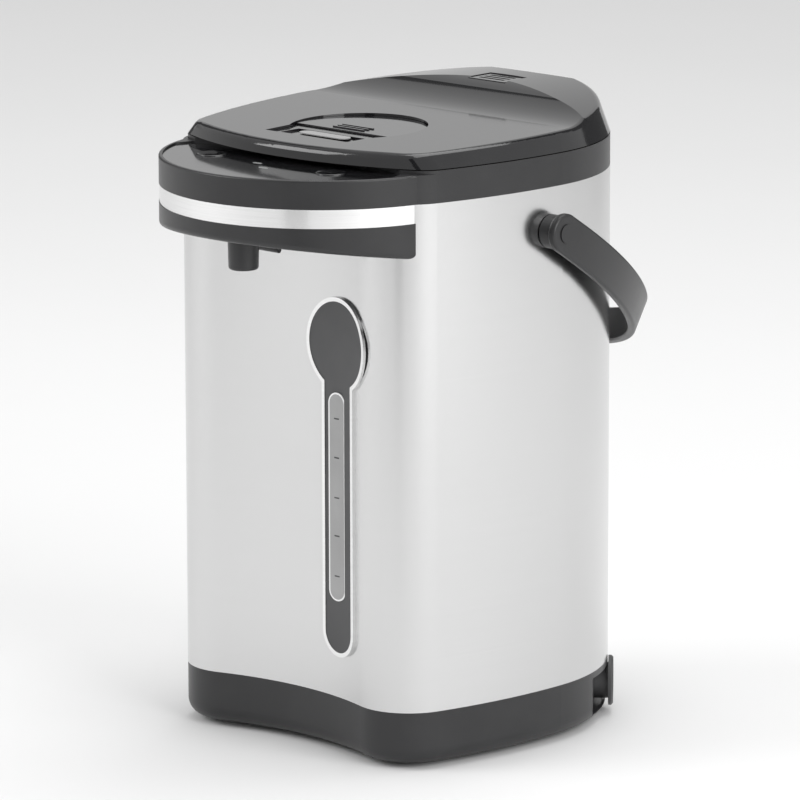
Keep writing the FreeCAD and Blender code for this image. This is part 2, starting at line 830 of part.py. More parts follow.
def make_collar():
    body = new_body("collar")
    slab = new_sketch(body, height=steel_top)
    pot_outline(slab, 0)
    pad(body, slab, panel_top + panel_rim_step - steel_top)
    nose = new_sketch(body, height=steel_top, name="Nose")
    draw_circle(nose, 0, -beak_centre, beak_radius)
    pad(body, nose, panel_top + panel_rim_step - steel_top, "NosePad")
    crest = new_sketch(body, height=steel_top, name="Crest")
    lid_outline(crest, -skin_seam)
    pad(body, crest, band_height, "CrestPad")
    doc.recompute()
    ring = new_sketch(body, height=steel_top, name="RingCavity")
    pot_outline(ring, band_wall)
    draw_circle(ring, 0, 0, mouth_radius + mouth_wall)
    cavity_height = panel_seat - seat_floor - steel_top
    pocket(body, ring, cavity_height, "RingHollow", reverse=True)
    front = new_sketch(body, height=steel_top, name="BeakCavity")
    outer = beak_radius - beak_wall
    mouth_outer = mouth_radius + mouth_wall
    meet_y = (outer * outer - mouth_outer * mouth_outer - beak_centre * beak_centre) / (beak_centre * 2)
    meet_x = root(mouth_outer * mouth_outer - meet_y * meet_y)
    draw_loop(front, [(meet_x, meet_y), (-meet_x, meet_y), (0, -beak_centre - outer)],
              [(0, mouth_outer, False), (1, outer, True), (2, outer, True)])
    pocket(body, front, cavity_height, "BeakHollow", reverse=True)
    round_edges(body, on_beak(panel_top, band_top), beak_round, "RimRound")
    doc.recompute()
    mouth = new_sketch(body, height=steel_top, name="Mouth")
    draw_circle(mouth, 0, 0, mouth_radius)
    pocket(body, mouth, band_height * 3, "MouthHole", symmetric=True)
    seat = new_sketch(body, height=panel_seat, name="PanelSeat")
    beak_lens(seat, panel_rim, as_size(1), panel_tip)
    pocket(body, seat, band_height, "PanelSeatCut", reverse=True)
    holes = new_sketch(body, height=panel_seat, name="ControlHoles")
    for x, y in button_places():
        draw_circle(holes, x, y, button_radius + button_play)
    for x, y in lamp_places():
        lamp_outline(holes, x, y, as_size(0.05))
    pocket(body, holes, seat_floor * 3, "ControlHole", symmetric=True)
    notch = new_sketch(body, height=band_top, name="HingeNotch")
    half = hinge_notch_half
    draw_box(notch, -half, half, mouth_radius + mouth_wall + 1, pot_radius * 1.2)
    pocket(body, notch, band_height - 1, "HingeNotchCut")
    catch = new_sketch(body, "XZ_Plane", name="CatchSlot")
    draw_box(catch, -bolt_half - 1, bolt_half + 1, bolt_low - 1, bolt_low + bolt_thickness + 1)
    pocket(body, catch, mouth_radius + mouth_wall, "CatchSlotCut", reverse=True)
    return keep(body, "collar")


bolt_drop = cell("bolt_drop", 8)
bolt_low = band_top - bolt_drop - bolt_thickness


def make_trim_strip():
    body = new_body("trim_strip")
    sketch = new_sketch(body, height=steel_top - trim_height)
    draw_circle(sketch, 0, -beak_centre, beak_radius - play)
    draw_circle(sketch, 0, -beak_centre, beak_radius - play - trim_thickness)
    pad(body, sketch, trim_height)
    doc.recompute()
    clear = new_sketch(body, height=steel_top - trim_height, name="PotClear")
    pot_outline(clear, -play)
    pocket(body, clear, trim_height * 3, "PotCut", symmetric=True)
    return keep(body, "trim_strip")


def make_beak_tray():
    body = new_body("beak_tray")
    bottom = steel_top - tray_drop_rear - 4
    sketch = new_sketch(body, height=bottom)
    draw_circle(sketch, 0, -beak_centre, beak_radius)
    pad(body, sketch, steel_top - trim_height - bottom)
    wall_radius = beak_radius - play - trim_thickness - 0.1
    upper = new_sketch(body, height=bottom, name="Upper")
    draw_circle(upper, 0, -beak_centre, wall_radius)
    pad(body, upper, steel_top - bottom, "UpperPad")
    doc.recompute()
    clear = new_sketch(body, height=bottom, name="PotClear")
    pot_outline(clear, -play)
    pocket(body, clear, pot_radius, "PotCut", reverse=True)
    slope = new_sketch(body, "YZ_Plane", name="Underside")
    front_z = steel_top - tray_drop_front
    rear_z = steel_top - tray_drop_rear
    front_y = -(beak_centre + beak_radius)
    rear_y = -pot_radius + 8
    grade = (front_z - rear_z) / (front_y - rear_y)
    reach = as_size(20)
    draw_loop(slope, [(front_y - reach, front_z - grade * reach), (front_y - reach, bottom - reach),
                      (rear_y + reach, bottom - reach), (rear_y + reach, rear_z + grade * reach)])
    pocket(body, slope, beak_radius * 3, "UndersideCut", symmetric=True)
    round_edges(body, on_beak(bottom, steel_top - trim_height - 1), tray_round, "LowerRound")
    doc.recompute()
    hollow = new_sketch(body, height=tray_inside, name="Inside")
    draw_circle(hollow, 0, -beak_centre, wall_radius - beak_wall)
    pocket(body, hollow, steel_top - tray_inside, "Hollow", reverse=True)
    holes = new_sketch(body, height=tray_inside, name="Holes")
    draw_circle(holes, 0, -spout_y, spout_radius)
    draw_box(holes, -lever_width / 2 - 1, lever_width / 2 + 1, -lever_y - lever_thickness,
             -lever_y + lever_thickness * 2.5)
    pocket(body, holes, tray_drop_rear, "FloorHoles")
    cheeks = new_sketch(body, height=tray_inside, name="Cheeks")
    low = lever_width / 2 + 1
    for side in (-1, 1):
        near = low * side
        far = (low + 2.5) * side
        ends = (near, far) if side > 0 else (far, near)
        draw_box(cheeks, ends[0], ends[1], -lever_y - 3, -lever_y + 3)
    pad(body, cheeks, steel_top - lever_pivot_drop + 3 - tray_inside, "CheekPad")
    doc.recompute()
    bore = new_sketch(body, "YZ_Plane", name="PinBore")
    draw_circle(bore, -lever_y, steel_top - lever_pivot_drop, lever_pin_radius)
    pocket(body, bore, (low + 3) * 2, "PinBoreCut", symmetric=True)
    return keep(body, "beak_tray")


tray_inside = steel_top - tray_drop_front + tray_floor


def make_control_panel():
    body = new_body("control_panel")
    sketch = new_sketch(body, height=panel_seat)
    beak_lens(sketch, panel_rim + 0.1, as_size(1.1), panel_tip - 0.1)
    for x, y in button_places():
        draw_circle(sketch, x, y, button_radius + button_play)
    for x, y in lamp_places():
        lamp_outline(sketch, x, y, as_size(0.05))
    pad(body, sketch, panel_thickness)
    return keep(body, "control_panel")


def make_lamps():
    lamps = []
    for index, (x, y) in enumerate(lamp_places()):
        lamp = new_body(f"lamp_{index + 1}")
        sketch = new_sketch(lamp, height=panel_seat - seat_floor)
        lamp_outline(sketch, x, y, as_size(0))
        pad(lamp, sketch, panel_thickness + seat_floor + 0.15)
        lamps.append(lamp)
    return group("indicator_windows", lamps)


def make_button(name, side):
    edge = as_size(0.8)
    dish = as_size(0.5)
    section = [(0, 0), (button_radius, 0), (button_radius, button_height - edge),
               (button_radius - edge, button_height), (0, button_height - dish)]
    return turned(name, section, [(2, edge, True)], x=button_x * side, y=-button_y,
                  z=panel_top + button_proud - button_height)


def make_panel_board():
    body = new_body("panel_board")
    button_low = panel_top + button_proud - button_height
    switch_height = as_size(3)
    board_low = button_low - button_travel - play - switch_height - board_thickness
    board_x = button_x + 8
    sketch = new_sketch(body, height=board_low)
    draw_box(sketch, -board_x, board_x, -button_y - 10, -button_y + 9)
    pad(body, sketch, board_thickness)
    switches = new_sketch(body, height=board_low + board_thickness, name="Switches")
    for x, y in button_places():
        draw_box(switches, x - 3, x + 3, y - 3, y + 3)
    pad(body, switches, switch_height, "SwitchPad")
    posts = new_sketch(body, height=board_low, name="Posts")
    for x in (-board_x + 22, board_x - 22):
        draw_circle(posts, x, -button_y - 6, 2)
        draw_circle(posts, x, -button_y + 5, 2)
    pad(body, posts, panel_seat - seat_floor - board_low, "PostPad")
    return keep(body, "panel_board")


# Spout, lever and water way


def make_spout():
    bottom = steel_top - spout_bottom_drop
    length = tray_inside - bottom
    tip = spout_radius - spout_taper
    soft = as_size(1.5)
    section = [(spout_bore, 0), (tip - soft, 0), (tip, soft), (spout_radius, length), (spout_bore, length)]
    return turned("spout", section, [(1, soft, True)], y=-spout_y, z=bottom)


def make_cup_lever():
    body = new_body("cup_lever")
    top = steel_top - lever_pivot_drop
    length = lever_tip_drop - lever_pivot_drop
    eye = lever_pin_radius + 1.6
    sketch = new_sketch(body, "YZ_Plane")
    half = lever_thickness / 2
    draw_loop(sketch, [(half, -length + half), (half, 0), (-half, 0), (-half, -length + half), (0, -length)],
              [(3, half, True), (4, half, True)])
    pad(body, sketch, lever_width, symmetric=True)
    hub = new_sketch(body, "YZ_Plane", name="Hub")
    draw_circle(hub, 0, 0, eye)
    pad(body, hub, lever_width, "HubPad", symmetric=True)
    doc.recompute()
    bore = new_sketch(body, "YZ_Plane", name="Bore")
    draw_circle(bore, 0, 0, lever_pin_radius + running_clearance)
    pocket(body, bore, lever_width * 2, "BoreCut", symmetric=True)
    place(body, 0, -lever_y, top)
    return keep(body, "cup_lever")


def make_rod(name, radius, length, x, y, z):
    """A pin lying along X, centred at x, y, z."""
    rod = doc.addObject("Part::Cylinder", name)
    bind(rod, "Radius", radius)
    bind(rod, "Height", length)
    rod.Placement = Placement(Vector(0, 0, 0), Rotation(Vector(0, 1, 0), 90))
    place(rod, as_size(x) - as_size(length) / 2, y, z)
    return keep(rod, name)


def make_lever_switch():
    body = new_body("lever_switch")
    sketch = new_sketch(body, height=tray_inside)
    rear = -lever_y + 9
    draw_box(sketch, -7, 7, rear, rear + 8)
    pad(body, sketch, 8)
    return keep(body, "lever_switch")


def draw_route(sketch, corners, bend):
    """An open line through right-angled corners, each rounded to the bend radius."""
    corners = [(as_size(x), as_size(y)) for x, y in corners]
    stops = [corners[0]]
    for index in range(1, len(corners) - 1):
        before, here, after = corners[index - 1], corners[index], corners[index + 1]
        for other in (before, after):
            step_x = other[0].value - here[0].value
            step_y = other[1].value - here[1].value
            x = here[0] + bend * ((step_x > 1e-6) - (step_x < -1e-6))
            y = here[1] + bend * ((step_y > 1e-6) - (step_y < -1e-6))
            stops.append((x, y))
    stops.append(corners[-1])
    for index in range(len(stops) - 1):
        start = Vector(stops[index][0].value, stops[index][1].value, 0)
        end = Vector(stops[index + 1][0].value, stops[index + 1][1].value, 0)
        if index % 2 == 0:
            geometry = sketch.addGeometry(Part.LineSegment(start, end))
            fix_point(sketch, geometry, 1, stops[index])
            fix_point(sketch, geometry, 2, stops[index + 1])
            continue
        corner = corners[(index + 1) // 2]
        way = Vector(corner[0].value, corner[1].value, 0) - start
        left = way.cross(end - start).z > 0
        geometry = sketch.addGeometry(arc_between(start, end, bend.value, left))
        number = sketch.addConstraint(Sketcher.Constraint("Radius", geometry, bend.value))
        sketch.setExpression(f"Constraints[{number}]", bend.text)
        ends = (1, 2) if left else (2, 1)
        fix_point(sketch, geometry, ends[0], stops[index])
        fix_point(sketch, geometry, ends[1], stops[index + 1])


def make_pipe(name, plane, corners, bend, radius, bore, section_plane):
    """A tube along a route of right-angled turns, drawn in one plane of its body."""
    body = new_body(name)
    spine = new_sketch(body, plane, name="Route")
    draw_route(spine, corners, as_size(bend))
    start = corners[0]
    height = as_size(start[1]) if section_plane == "XY_Plane" else -as_size(start[0])
    section = new_sketch(body, section_plane, height=height, name="Section")
    across = (start[0], 0) if section_plane == "XY_Plane" else (0, start[1])
    if plane == "YZ_Plane" and section_plane == "XY_Plane":
        across = (0, start[0])
    draw_circle(section, across[0], across[1], radius)
    draw_circle(section, across[0], across[1], bore)
    pipe = body.newObject("PartDesign::AdditivePipe", "Pipe")
    pipe.Profile = section
    pipe.Spine = (spine, [])
    return body


def make_riser():
    return turned("riser_tube", [(pipe_bore, 0), (pipe_radius, 0), (pipe_radius, riser_length),
                                 (pipe_bore, riser_length)], x=gauge_x, y=riser_depth, z=riser_foot)


riser_length = steel_top - riser_head_drop - pipe_bend - riser_foot


def make_spout_pipe():
    run = root(gauge_x * gauge_x + (spout_y + riser_depth) * (spout_y + riser_depth))
    level = pipe_bend
    body = make_pipe("spout_pipe", "XZ_Plane", [(0, 0), (0, level), (run, level), (run, level - spout_pipe_fall)],
                     pipe_bend * 0.95, pipe_radius, pipe_bore, "XY_Plane")
    heading = math.degrees(math.atan2(-(spout_y.value + riser_depth.value), -gauge_x.value))
    body.Placement = Placement(Vector(0, 0, 0), Rotation(Vector(0, 0, 1), heading))
    place(body, gauge_x, riser_depth, riser_foot + riser_length)
    return keep(body, "spout_pipe")


spout_pipe_fall = steel_top - riser_head_drop - tray_inside


def make_hose():
    outlet_z = pump_floor + pump_height / 2
    start_y = -(pump_y + pump_radius)
    body = make_pipe("hose", "YZ_Plane", [(start_y, outlet_z), (riser_depth, outlet_z), (riser_depth, riser_foot + 6)],
                     as_size(10), hose_radius, pipe_radius, "XZ_Plane")
    place(body, gauge_x, 0, 0)
    return keep(body, "hose")


# Liner, heater and pump


def make_liner():
    top = steel_top - liner_floor
    outer = liner_radius
    inner = liner_radius - liner_wall
    bend = liner_bend
    section = [(0, 0), (inner - bend, 0), (inner, bend), (inner, top), (outer + liner_flange, top), (outer + liner_flange, top - liner_wall),
               (outer, top - liner_wall), (outer, bend), (inner - bend, -liner_wall), (0, -liner_wall)]
    body = turned("liner", section, [(1, bend, True), (7, bend + liner_wall, False)], z=liner_floor)
    doc.recompute()
    drain = new_sketch(body, "XY_Plane", name="Drain")
    draw_circle(drain, gauge_x, -pump_y, pipe_radius)
    pocket(body, drain, liner_wall * 4, "DrainHole", symmetric=True)
    return body


def make_mouth_ring():
    inner = mouth_radius + 0.1
    outer = liner_radius - liner_wall - 0.1
    return turned("mouth_ring", [(inner, 0), (outer, 0), (outer, 2), (inner, 2)], z=steel_top - 2)


def make_heater():
    body = new_body("heater_plate")
    sketch = new_sketch(body, height=liner_floor - liner_wall - heater_thickness)
    draw_circle(sketch, 0, 0, heater_radius)
    draw_circle(sketch, gauge_x, -pump_y, pipe_radius + 2)
    pad(body, sketch, heater_thickness)
    return keep(body, "heater_plate")


def make_thermostat():
    top = liner_floor - liner_wall - heater_thickness
    flange = as_size(2)
    section = [(0, 0), (thermostat_radius, 0), (thermostat_radius, thermostat_height - flange),
               (thermostat_radius + 3, thermostat_height - flange), (thermostat_radius + 3, thermostat_height),
               (0, thermostat_height)]
    return turned("thermostat", section, z=top - thermostat_height)


def make_heat_shield():
    top = liner_floor - liner_wall
    rim = heater_radius + 9
    depth = heater_thickness + shield_drop
    section = [(thermostat_radius + 6, 0), (rim, 0), (rim, depth), (rim - shield_wall, depth),
               (rim - shield_wall, shield_wall), (thermostat_radius + 6, shield_wall)]
    body = turned("heat_shield", section, z=top - depth)
    doc.recompute()
    hole = new_sketch(body, name="PipeHole")
    draw_circle(hole, gauge_x, -pump_y, pipe_radius + 2)
    pocket(body, hole, depth, "PipeHoleCut", symmetric=True)
    return body


def make_liner_outlet():
    low = pump_floor + pump_height
    high = liner_floor
    section = [(pipe_bore, 0), (pipe_radius, 0), (pipe_radius, high - low), (pipe_bore, high - low)]
    return turned("liner_outlet", section, x=gauge_x, y=-pump_y, z=low)


def make_pump_housing():
    inner = pump_radius - pump_wall
    section = [(shaft_radius + running_clearance, 0), (pump_radius, 0), (pump_radius, pump_height),
               (pipe_bore, pump_height), (pipe_bore, pump_height - pump_wall), (inner, pump_height - pump_wall),
               (inner, pump_wall), (shaft_radius + running_clearance, pump_wall)]
    return turned("pump_housing", section, x=gauge_x, y=-pump_y, z=pump_floor)


def make_impeller():
    disc = as_size(1.5)
    low = pump_wall + 1
    shaft_low = -as_size(8)
    hub = as_size(4)
    section = [(0, shaft_low), (shaft_radius, shaft_low), (shaft_radius, low), (impeller_radius, low),
               (impeller_radius, low + disc), (hub, low + disc), (hub, low + impeller_height), (0, low + impeller_height)]
    body = turned("impeller", section, x=gauge_x, y=-pump_y, z=pump_floor)
    doc.recompute()
    blade = new_sketch(body, height=low + disc, name="Blade")
    draw_box(blade, hub - 0.5, impeller_radius, -0.6, 0.6)
    first = pad(body, blade, impeller_height - disc, "BladePad")
    doc.recompute()
    ring = body.newObject("PartDesign::PolarPattern", "Blades")
    ring.Originals = [first]
    ring.Axis = (blade, ["N_Axis"])
    ring.Angle = 360
    ring.Occurrences = 6
    body.Tip = ring
    return body


def make_motor():
    low = pump_floor - motor_height
    bore = shaft_radius + running_clearance
    bore_low = motor_height - 9
    section = [(0, 0), (motor_radius, 0), (motor_radius, motor_height), (bore, motor_height), (bore, bore_low),
               (0, bore_low)]
    return turned("pump_motor", section, x=gauge_x, y=-pump_y, z=low)


def make_pump_mount():
    low = foot_gap + cover_thickness
    high = pump_floor - motor_height
    section = [(0, 0), (motor_radius, 0), (motor_radius - 3, (high - low) / 2), (motor_radius, high - low),
               (0, high - low)]
    return turned("pump_mount", section, x=gauge_x, y=-pump_y, z=low)


def make_control_board():
    body = new_body("control_board")
    low = foot_gap + cover_thickness
    level = low + 10
    posts = new_sketch(body, height=low, name="Posts")
    for x in (-46, -14):
        for y in (-18, 22):
            draw_circle(posts, x, y, 2.5)
    pad(body, posts, 10, "PostPad")
    plate = new_sketch(body, height=level, name="Board")
    draw_box(plate, -50, -10, -22, 26)
    pad(body, plate, board_thickness, "BoardPad")
    parts = new_sketch(body, height=level + board_thickness, name="Components")
    draw_box(parts, -46, -26, 2, 20)
    draw_box(parts, -24, -14, -16, -6)
    draw_circle(parts, -38, -10, 6)
    pad(body, parts, 14, "ComponentPad")
    return keep(body, "control_board")


# Water gauge


def lollipop(sketch, inset):
    """Front view of the gauge: a round head on a stem with a round foot."""
    head = gauge_head_radius - inset
    half = gauge_stem_half - inset
    foot = gauge_foot_height + gauge_stem_half
    neck = gauge_head_height - root(head * head - half * half)
    left = gauge_x - half
    right = gauge_x + half
    draw_loop(sketch, [(right, foot), (right, neck), (gauge_x, gauge_head_height + head), (left, neck), (left, foot),
                       (gauge_x, foot - half)],
              [(1, head, True), (2, head, True), (4, half, True), (5, half, True)])


def wrap_front(body, outer, inner):
    """Trim a plate to the concave front, between two distances in front of the steel."""
    centre = front_centre()
    near = new_sketch(body, height=gauge_head_height, name="Near")
    draw_circle(near, 0, centre, front_radius - outer)
    pocket(body, near, gauge_head_height * 3, "NearCut", symmetric=True)
    far = new_sketch(body, height=gauge_head_height, name="Far")
    draw_circle(far, 0, centre, front_radius * 2)
    draw_circle(far, 0, centre, front_radius - inner)
    pocket(body, far, gauge_head_height * 3, "FarCut", symmetric=True)


def gauge_plate(name, draw, outer, inner):
    """A plate of the gauge that follows the concave front."""
    body = new_body(name)
    sketch = new_sketch(body, "XZ_Plane", height=-(front_centre() + front_radius + 10))
    draw(sketch)
    pad(body, sketch, 40)
    doc.recompute()
    wrap_front(body, outer, inner)
    return keep(body, name)


def bezel_outline(sketch):
    lollipop(sketch, as_size(0))
    lollipop(sketch, gauge_border)


def face_outline(sketch):
    lollipop(sketch, gauge_border)
    stadium(sketch, gauge_x, slot_low + slot_half, slot_high - slot_half, slot_half)


def window_outline(sketch):
    stadium(sketch, gauge_x, slot_low + slot_half, slot_high - slot_half, slot_half)


# Lid


lid_low = band_top + lid_seam


def lid_rim(edge):
    """Whether an edge runs round the top of the lid."""
    middle = edge.valueAt((edge.FirstParameter + edge.LastParameter) / 2)
    outside = math.hypot(middle.x, middle.y) > pot_radius.value - 14
    along = abs(edge.tangentAt(edge.FirstParameter).z) < 0.4
    return outside and along and middle.z > lid_low.value + 4


def make_lid_cover():
    body = new_body("lid_cover")
    lower = new_sketch(body, height=lid_low, name="Seam")
    lid_outline(lower, 0)
    upper = new_sketch(body, height=lid_low + lid_lean_height, name="Crest")
    upper.AttachmentOffset = Placement(Vector(0, lid_top_shift.value, upper.AttachmentOffset.Base.z), Rotation())
    bind(upper, "AttachmentOffset.Base.y", lid_top_shift)
    lid_outline(upper, 0, top=True)
    loft = body.newObject("PartDesign::AdditiveLoft", "Wall")
    loft.Profile = lower
    loft.Sections = [upper]
    loft.Ruled = True
    doc.recompute()
    profile = new_sketch(body, "YZ_Plane", name="TopProfile")
    front_y = -(beak_centre + beak_radius)
    rear_y = pot_radius + 5
    over = lid_low + lid_lean_height * 2
    draw_loop(profile, [(front_y, lid_low + lid_front_height), (lid_plateau_end, lid_low + lid_plateau_height),
                        (hump_rise_y, lid_low + hump_rise_height), (rear_y, lid_low + lid_rear_height),
                        (rear_y, over), (front_y, over)],
              [(1, hump_foot_radius, True), (2, hump_radius, False)])
    pocket(body, profile, pot_radius * 3, "TopCut", symmetric=True)
    crown = new_sketch(body, "XZ_Plane", name="CrownProfile")
    reach = pot_radius + 5
    crown_low = lid_low + lid_crown_height - lid_crown_radius
    edge = crown_low + root(lid_crown_radius * lid_crown_radius - reach * reach)
    draw_loop(crown, [(-reach, edge), (reach, edge), (reach, over), (-reach, over)], [(0, lid_crown_radius, False)])
    pocket(body, crown, pot_radius * 4, "CrownCut", symmetric=True)
    round_edges(body, lid_rim, lid_rim_round, "RimRound")
    doc.recompute()
    inside = new_sketch(body, height=lid_low, name="Inside")
    lid_outline(inside, lid_wall + 1)
    pocket(body, inside, lid_ceiling, "Hollow", reverse=True)
    openings = new_sketch(body, height=lid_low, name="PressHole")
    draw_circle(openings, 0, -press_y, press_radius + press_gap)
    pocket(body, openings, lid_lean_height * 2, "PressHoleCut", reverse=True)
    flap = new_sketch(body, height=lid_low, name="LatchHole")
    draw_box(flap, -latch_half - press_gap, latch_half + press_gap, -latch_front - press_gap, -latch_rear)
    pocket(body, flap, lid_lean_height * 2, "LatchHoleCut", reverse=True)
    pins = new_sketch(body, "YZ_Plane", name="LatchPinBores")
    draw_circle(pins, -latch_hinge_y, latch_top - latch_thickness / 2,
                latch_pin_radius + running_clearance)
    pocket(body, pins, (latch_pin_end + play) * 2, "LatchPinBore", symmetric=True)
    vent = new_sketch(body, height=vent_seat, name="VentSeat")
    draw_box(vent, -vent_half_x - play / 2, vent_half_x + play / 2, vent_y - vent_half_y - play / 2,
             vent_y + vent_half_y + play / 2)
    pocket(body, vent, lid_lean_height, "VentSeatCut", reverse=True)
    steam = new_sketch(body, height=lid_low, name="SteamWay")
    draw_circle(steam, 0, vent_y, 5)
    pocket(body, steam, lid_lean_height, "SteamWayCut", reverse=True)
    return keep(body, "lid_cover")


vent_seat = lid_low + lid_crown_height - vent_height


def make_vent_cap():
    body = new_body("vent_cap")
    sketch = new_sketch(body, height=vent_seat)
    draw_box(sketch, -vent_half_x, vent_half_x, vent_y - vent_half_y, vent_y + vent_half_y)
    pad(body, sketch, vent_height - 0.6)
    doc.recompute()
    slots = new_sketch(body, height=vent_seat, name="Slots")
    for row in (-1, 0, 1):
        middle = vent_y + vent_bar * 2 * row
        draw_box(slots, -vent_half_x + 4, vent_half_x - 4, middle - vent_bar / 2, middle + vent_bar / 2)
    pocket(body, slots, vent_height * 2, "SlotCut", reverse=True)
    return keep(body, "vent_cap")


press_top = lid_low + cell("press_top_height", 7.5)
latch_top = lid_low + cell("latch_top_height", 6.6)


def make_press_plate():
    body = new_body("press_plate")
    sketch = new_sketch(body, height=press_top - press_thickness)
    draw_circle(sketch, 0, -press_y, press_radius)
    pad(body, sketch, press_thickness)
    doc.recompute()
    clip = new_sketch(body, height=press_top, name="LatchClear")
    draw_box(clip, -press_radius, press_radius, -press_y - press_radius - 1, -latch_rear + press_gap)
    pocket(body, clip, press_thickness * 3, "LatchClearCut", symmetric=True)
    ribs = new_sketch(body, height=press_top, name="Ribs")
    for row in (0, 1, 2):
        middle = -latch_rear + 5 + 3.6 * row
        draw_box(ribs, -11, 11, middle - 0.6, middle + 0.6)
    pad(body, ribs, 0.6, "RibPad")
    return keep(body, "press_plate")


def make_latch_flap():
    body = new_body("latch_flap")
    sketch = new_sketch(body, "YZ_Plane")
    half = latch_thickness / 2
    middle = latch_top - half
    rear = -latch_hinge_y
    draw_loop(sketch, [(-latch_front, middle - half), (rear, middle - half), (rear + half, middle),
                       (rear, middle + half), (-latch_front, middle + half)],
              [(1, half, True), (2, half, True)])
    pad(body, sketch, latch_half * 2, symmetric=True)
    doc.recompute()
    recess = new_sketch(body, height=latch_top, name="FingerRecess")
    draw_box(recess, -latch_half + 6, latch_half - 6, -latch_front + 4, -latch_rear - 8)
    pocket(body, recess, latch_thickness / 2, "FingerRecessCut")
    pins = new_sketch(body, "YZ_Plane", name="Pins")
    draw_circle(pins, rear, middle, latch_pin_radius)
    pad(body, pins, latch_pin_end * 2, "PinPad", symmetric=True)
    return keep(body, "latch_flap")


def make_lid_underside():
    depth = plug_depth
    outer = plug_radius
    inner = plug_radius - plug_wall
    top = lid_low + lid_ceiling
    high = top - (lid_low - depth)
    section = [(0, 0), (outer, 0), (outer, high - plug_wall), (outer + 8, high - plug_wall), (outer + 8, high),
               (inner, high), (inner, plug_wall), (0, plug_wall)]
    body = turned("lid_underside", section, z=lid_low - depth)
    doc.recompute()
    slot = new_sketch(body, "XZ_Plane", name="BoltSlot")
    low = bolt_low - (lid_low - depth)
    draw_box(slot, -bolt_half - play, bolt_half + play, low - play, low + bolt_thickness + play)
    pocket(body, slot, plug_radius + 1, "BoltSlotCut", reverse=True)
    holes = new_sketch(body, "XY_Plane", name="SteamHoles")
    draw_circle(holes, 0, vent_y, 4)
    draw_circle(holes, 0, -press_y, 5)
    pocket(body, holes, plug_wall * 3, "SteamHole", symmetric=True)
    return body


def make_gasket():
    low = lid_low - plug_depth
    wide = as_size(1.6)
    section = [(plug_radius, 3), (plug_radius + wide, 4), (plug_radius + wide, 6), (plug_radius, 7)]
    return turned("lid_gasket", section, z=low)


def make_bellows():
    low = lid_low - plug_depth + plug_wall
    high = press_top - press_thickness
    height = high - low
    folds = int(bellows_folds.value)
    pitch = height / folds
    outer = []
    inner = []
    crest = bellows_radius
    root_radius = bellows_radius - bellows_fold
    for fold in range(folds):
        base = pitch * fold
        outer.append((root_radius, base))
        outer.append((crest, base + pitch / 2))
    outer.append((root_radius, height))
    for radius, level in outer:
        inner.append((radius - bellows_wall, level))
    section = outer + inner[::-1]
    return turned("bellows", section, y=-press_y, z=low)


def make_latch_bolt():
    body = new_body("latch_bolt")
    sketch = new_sketch(body, height=bolt_low)
    tip = -(mouth_radius - bolt_tip_gap)
    back = -(press_y + bellows_radius + 0.6)
    draw_loop(sketch, [(bolt_half, back), (-bolt_half, back), (-bolt_half, tip + 2), (-bolt_half + 3, tip),
                       (bolt_half - 3, tip), (bolt_half, tip + 2)])
    pad(body, sketch, bolt_thickness)
    return keep(body, "latch_bolt")


def hinge_z():
    """Height of the lid hinge's axis."""
    return band_top - hinge_drop


def make_hinge_lug():
    body = new_body("hinge_lug")
    sketch = new_sketch(body, "YZ_Plane")
    top = lid_low + lid_ceiling
    half = knuckle_radius
    centre = hinge_z()
    draw_loop(sketch, [(hinge_y + half * 0.6, centre), (hinge_y + half * 0.6, top), (hinge_y - half, top),
                       (hinge_y - half, centre), (hinge_y, centre - half)],
              [(3, half, True)])
    pad(body, sketch, tongue_half * 2, symmetric=True)
    doc.recompute()
    bore = new_sketch(body, "YZ_Plane", name="Bore")
    draw_circle(bore, hinge_y, centre, hinge_pin_radius + running_clearance)
    pocket(body, bore, tongue_half * 3, "BoreCut", symmetric=True)
    return keep(body, "hinge_lug")


def make_hinge_bracket():
    body = new_body("hinge_bracket")
    low = steel_top + 1
    front = mouth_radius + mouth_wall + 1 + play
    rear = hinge_y + hinge_ear_rear
    sketch = new_sketch(body, height=low)
    wide = tongue_half + hinge_ear
    draw_box(sketch, -wide, wide, front, rear)
    pad(body, sketch, 2)
    ears = new_sketch(body, height=low, name="Ears")
    inside = tongue_half + play
    draw_box(ears, inside, wide, front, rear)
    draw_box(ears, -wide, -inside, front, rear)
    pad(body, ears, hinge_z() + 2.5 - low, "EarPad")
    doc.recompute()
    bore = new_sketch(body, "YZ_Plane", name="Bore")
    draw_circle(bore, hinge_y, hinge_z(), hinge_pin_radius)
    pocket(body, bore, wide * 3, "BoreCut", symmetric=True)
    return keep(body, "hinge_bracket")


# Handle


def strap_curve(sketch, inset):
    """Half of the handle's plan in its own plane: the arm, a long flank arc and the rear arc."""
    width = strap_half_span - inset
    middle = pivot_y / cosine(strap_tilt)
    rear = strap_rear_radius
    rise = strap_reach - rear
    flank = (strap_half_span * strap_half_span + rise * rise - rear * rear) / ((strap_half_span - rear) * 2)
    flank_x = strap_half_span - flank
    span = flank - rear
    ux = -flank_x / span
    uy = rise / span
    join = (flank_x + (flank - inset) * ux, middle + (flank - inset) * uy)
    return width, middle, join, flank - inset, rear - inset, middle + strap_reach - inset


def strap_rim(edge):
    """Whether an edge bounds the strap's outer or inner face."""
    middle = edge.valueAt((edge.FirstParameter + edge.LastParameter) / 2)
    half = strap_width.value / 2
    on_end = middle.y < 0.5 and abs(math.hypot(middle.y, middle.z) - half) < 0.05
    lengthwise = edge.Length > strap_thickness.value + 0.5
    return lengthwise and (on_end or abs(abs(middle.z) - half) < 0.01)


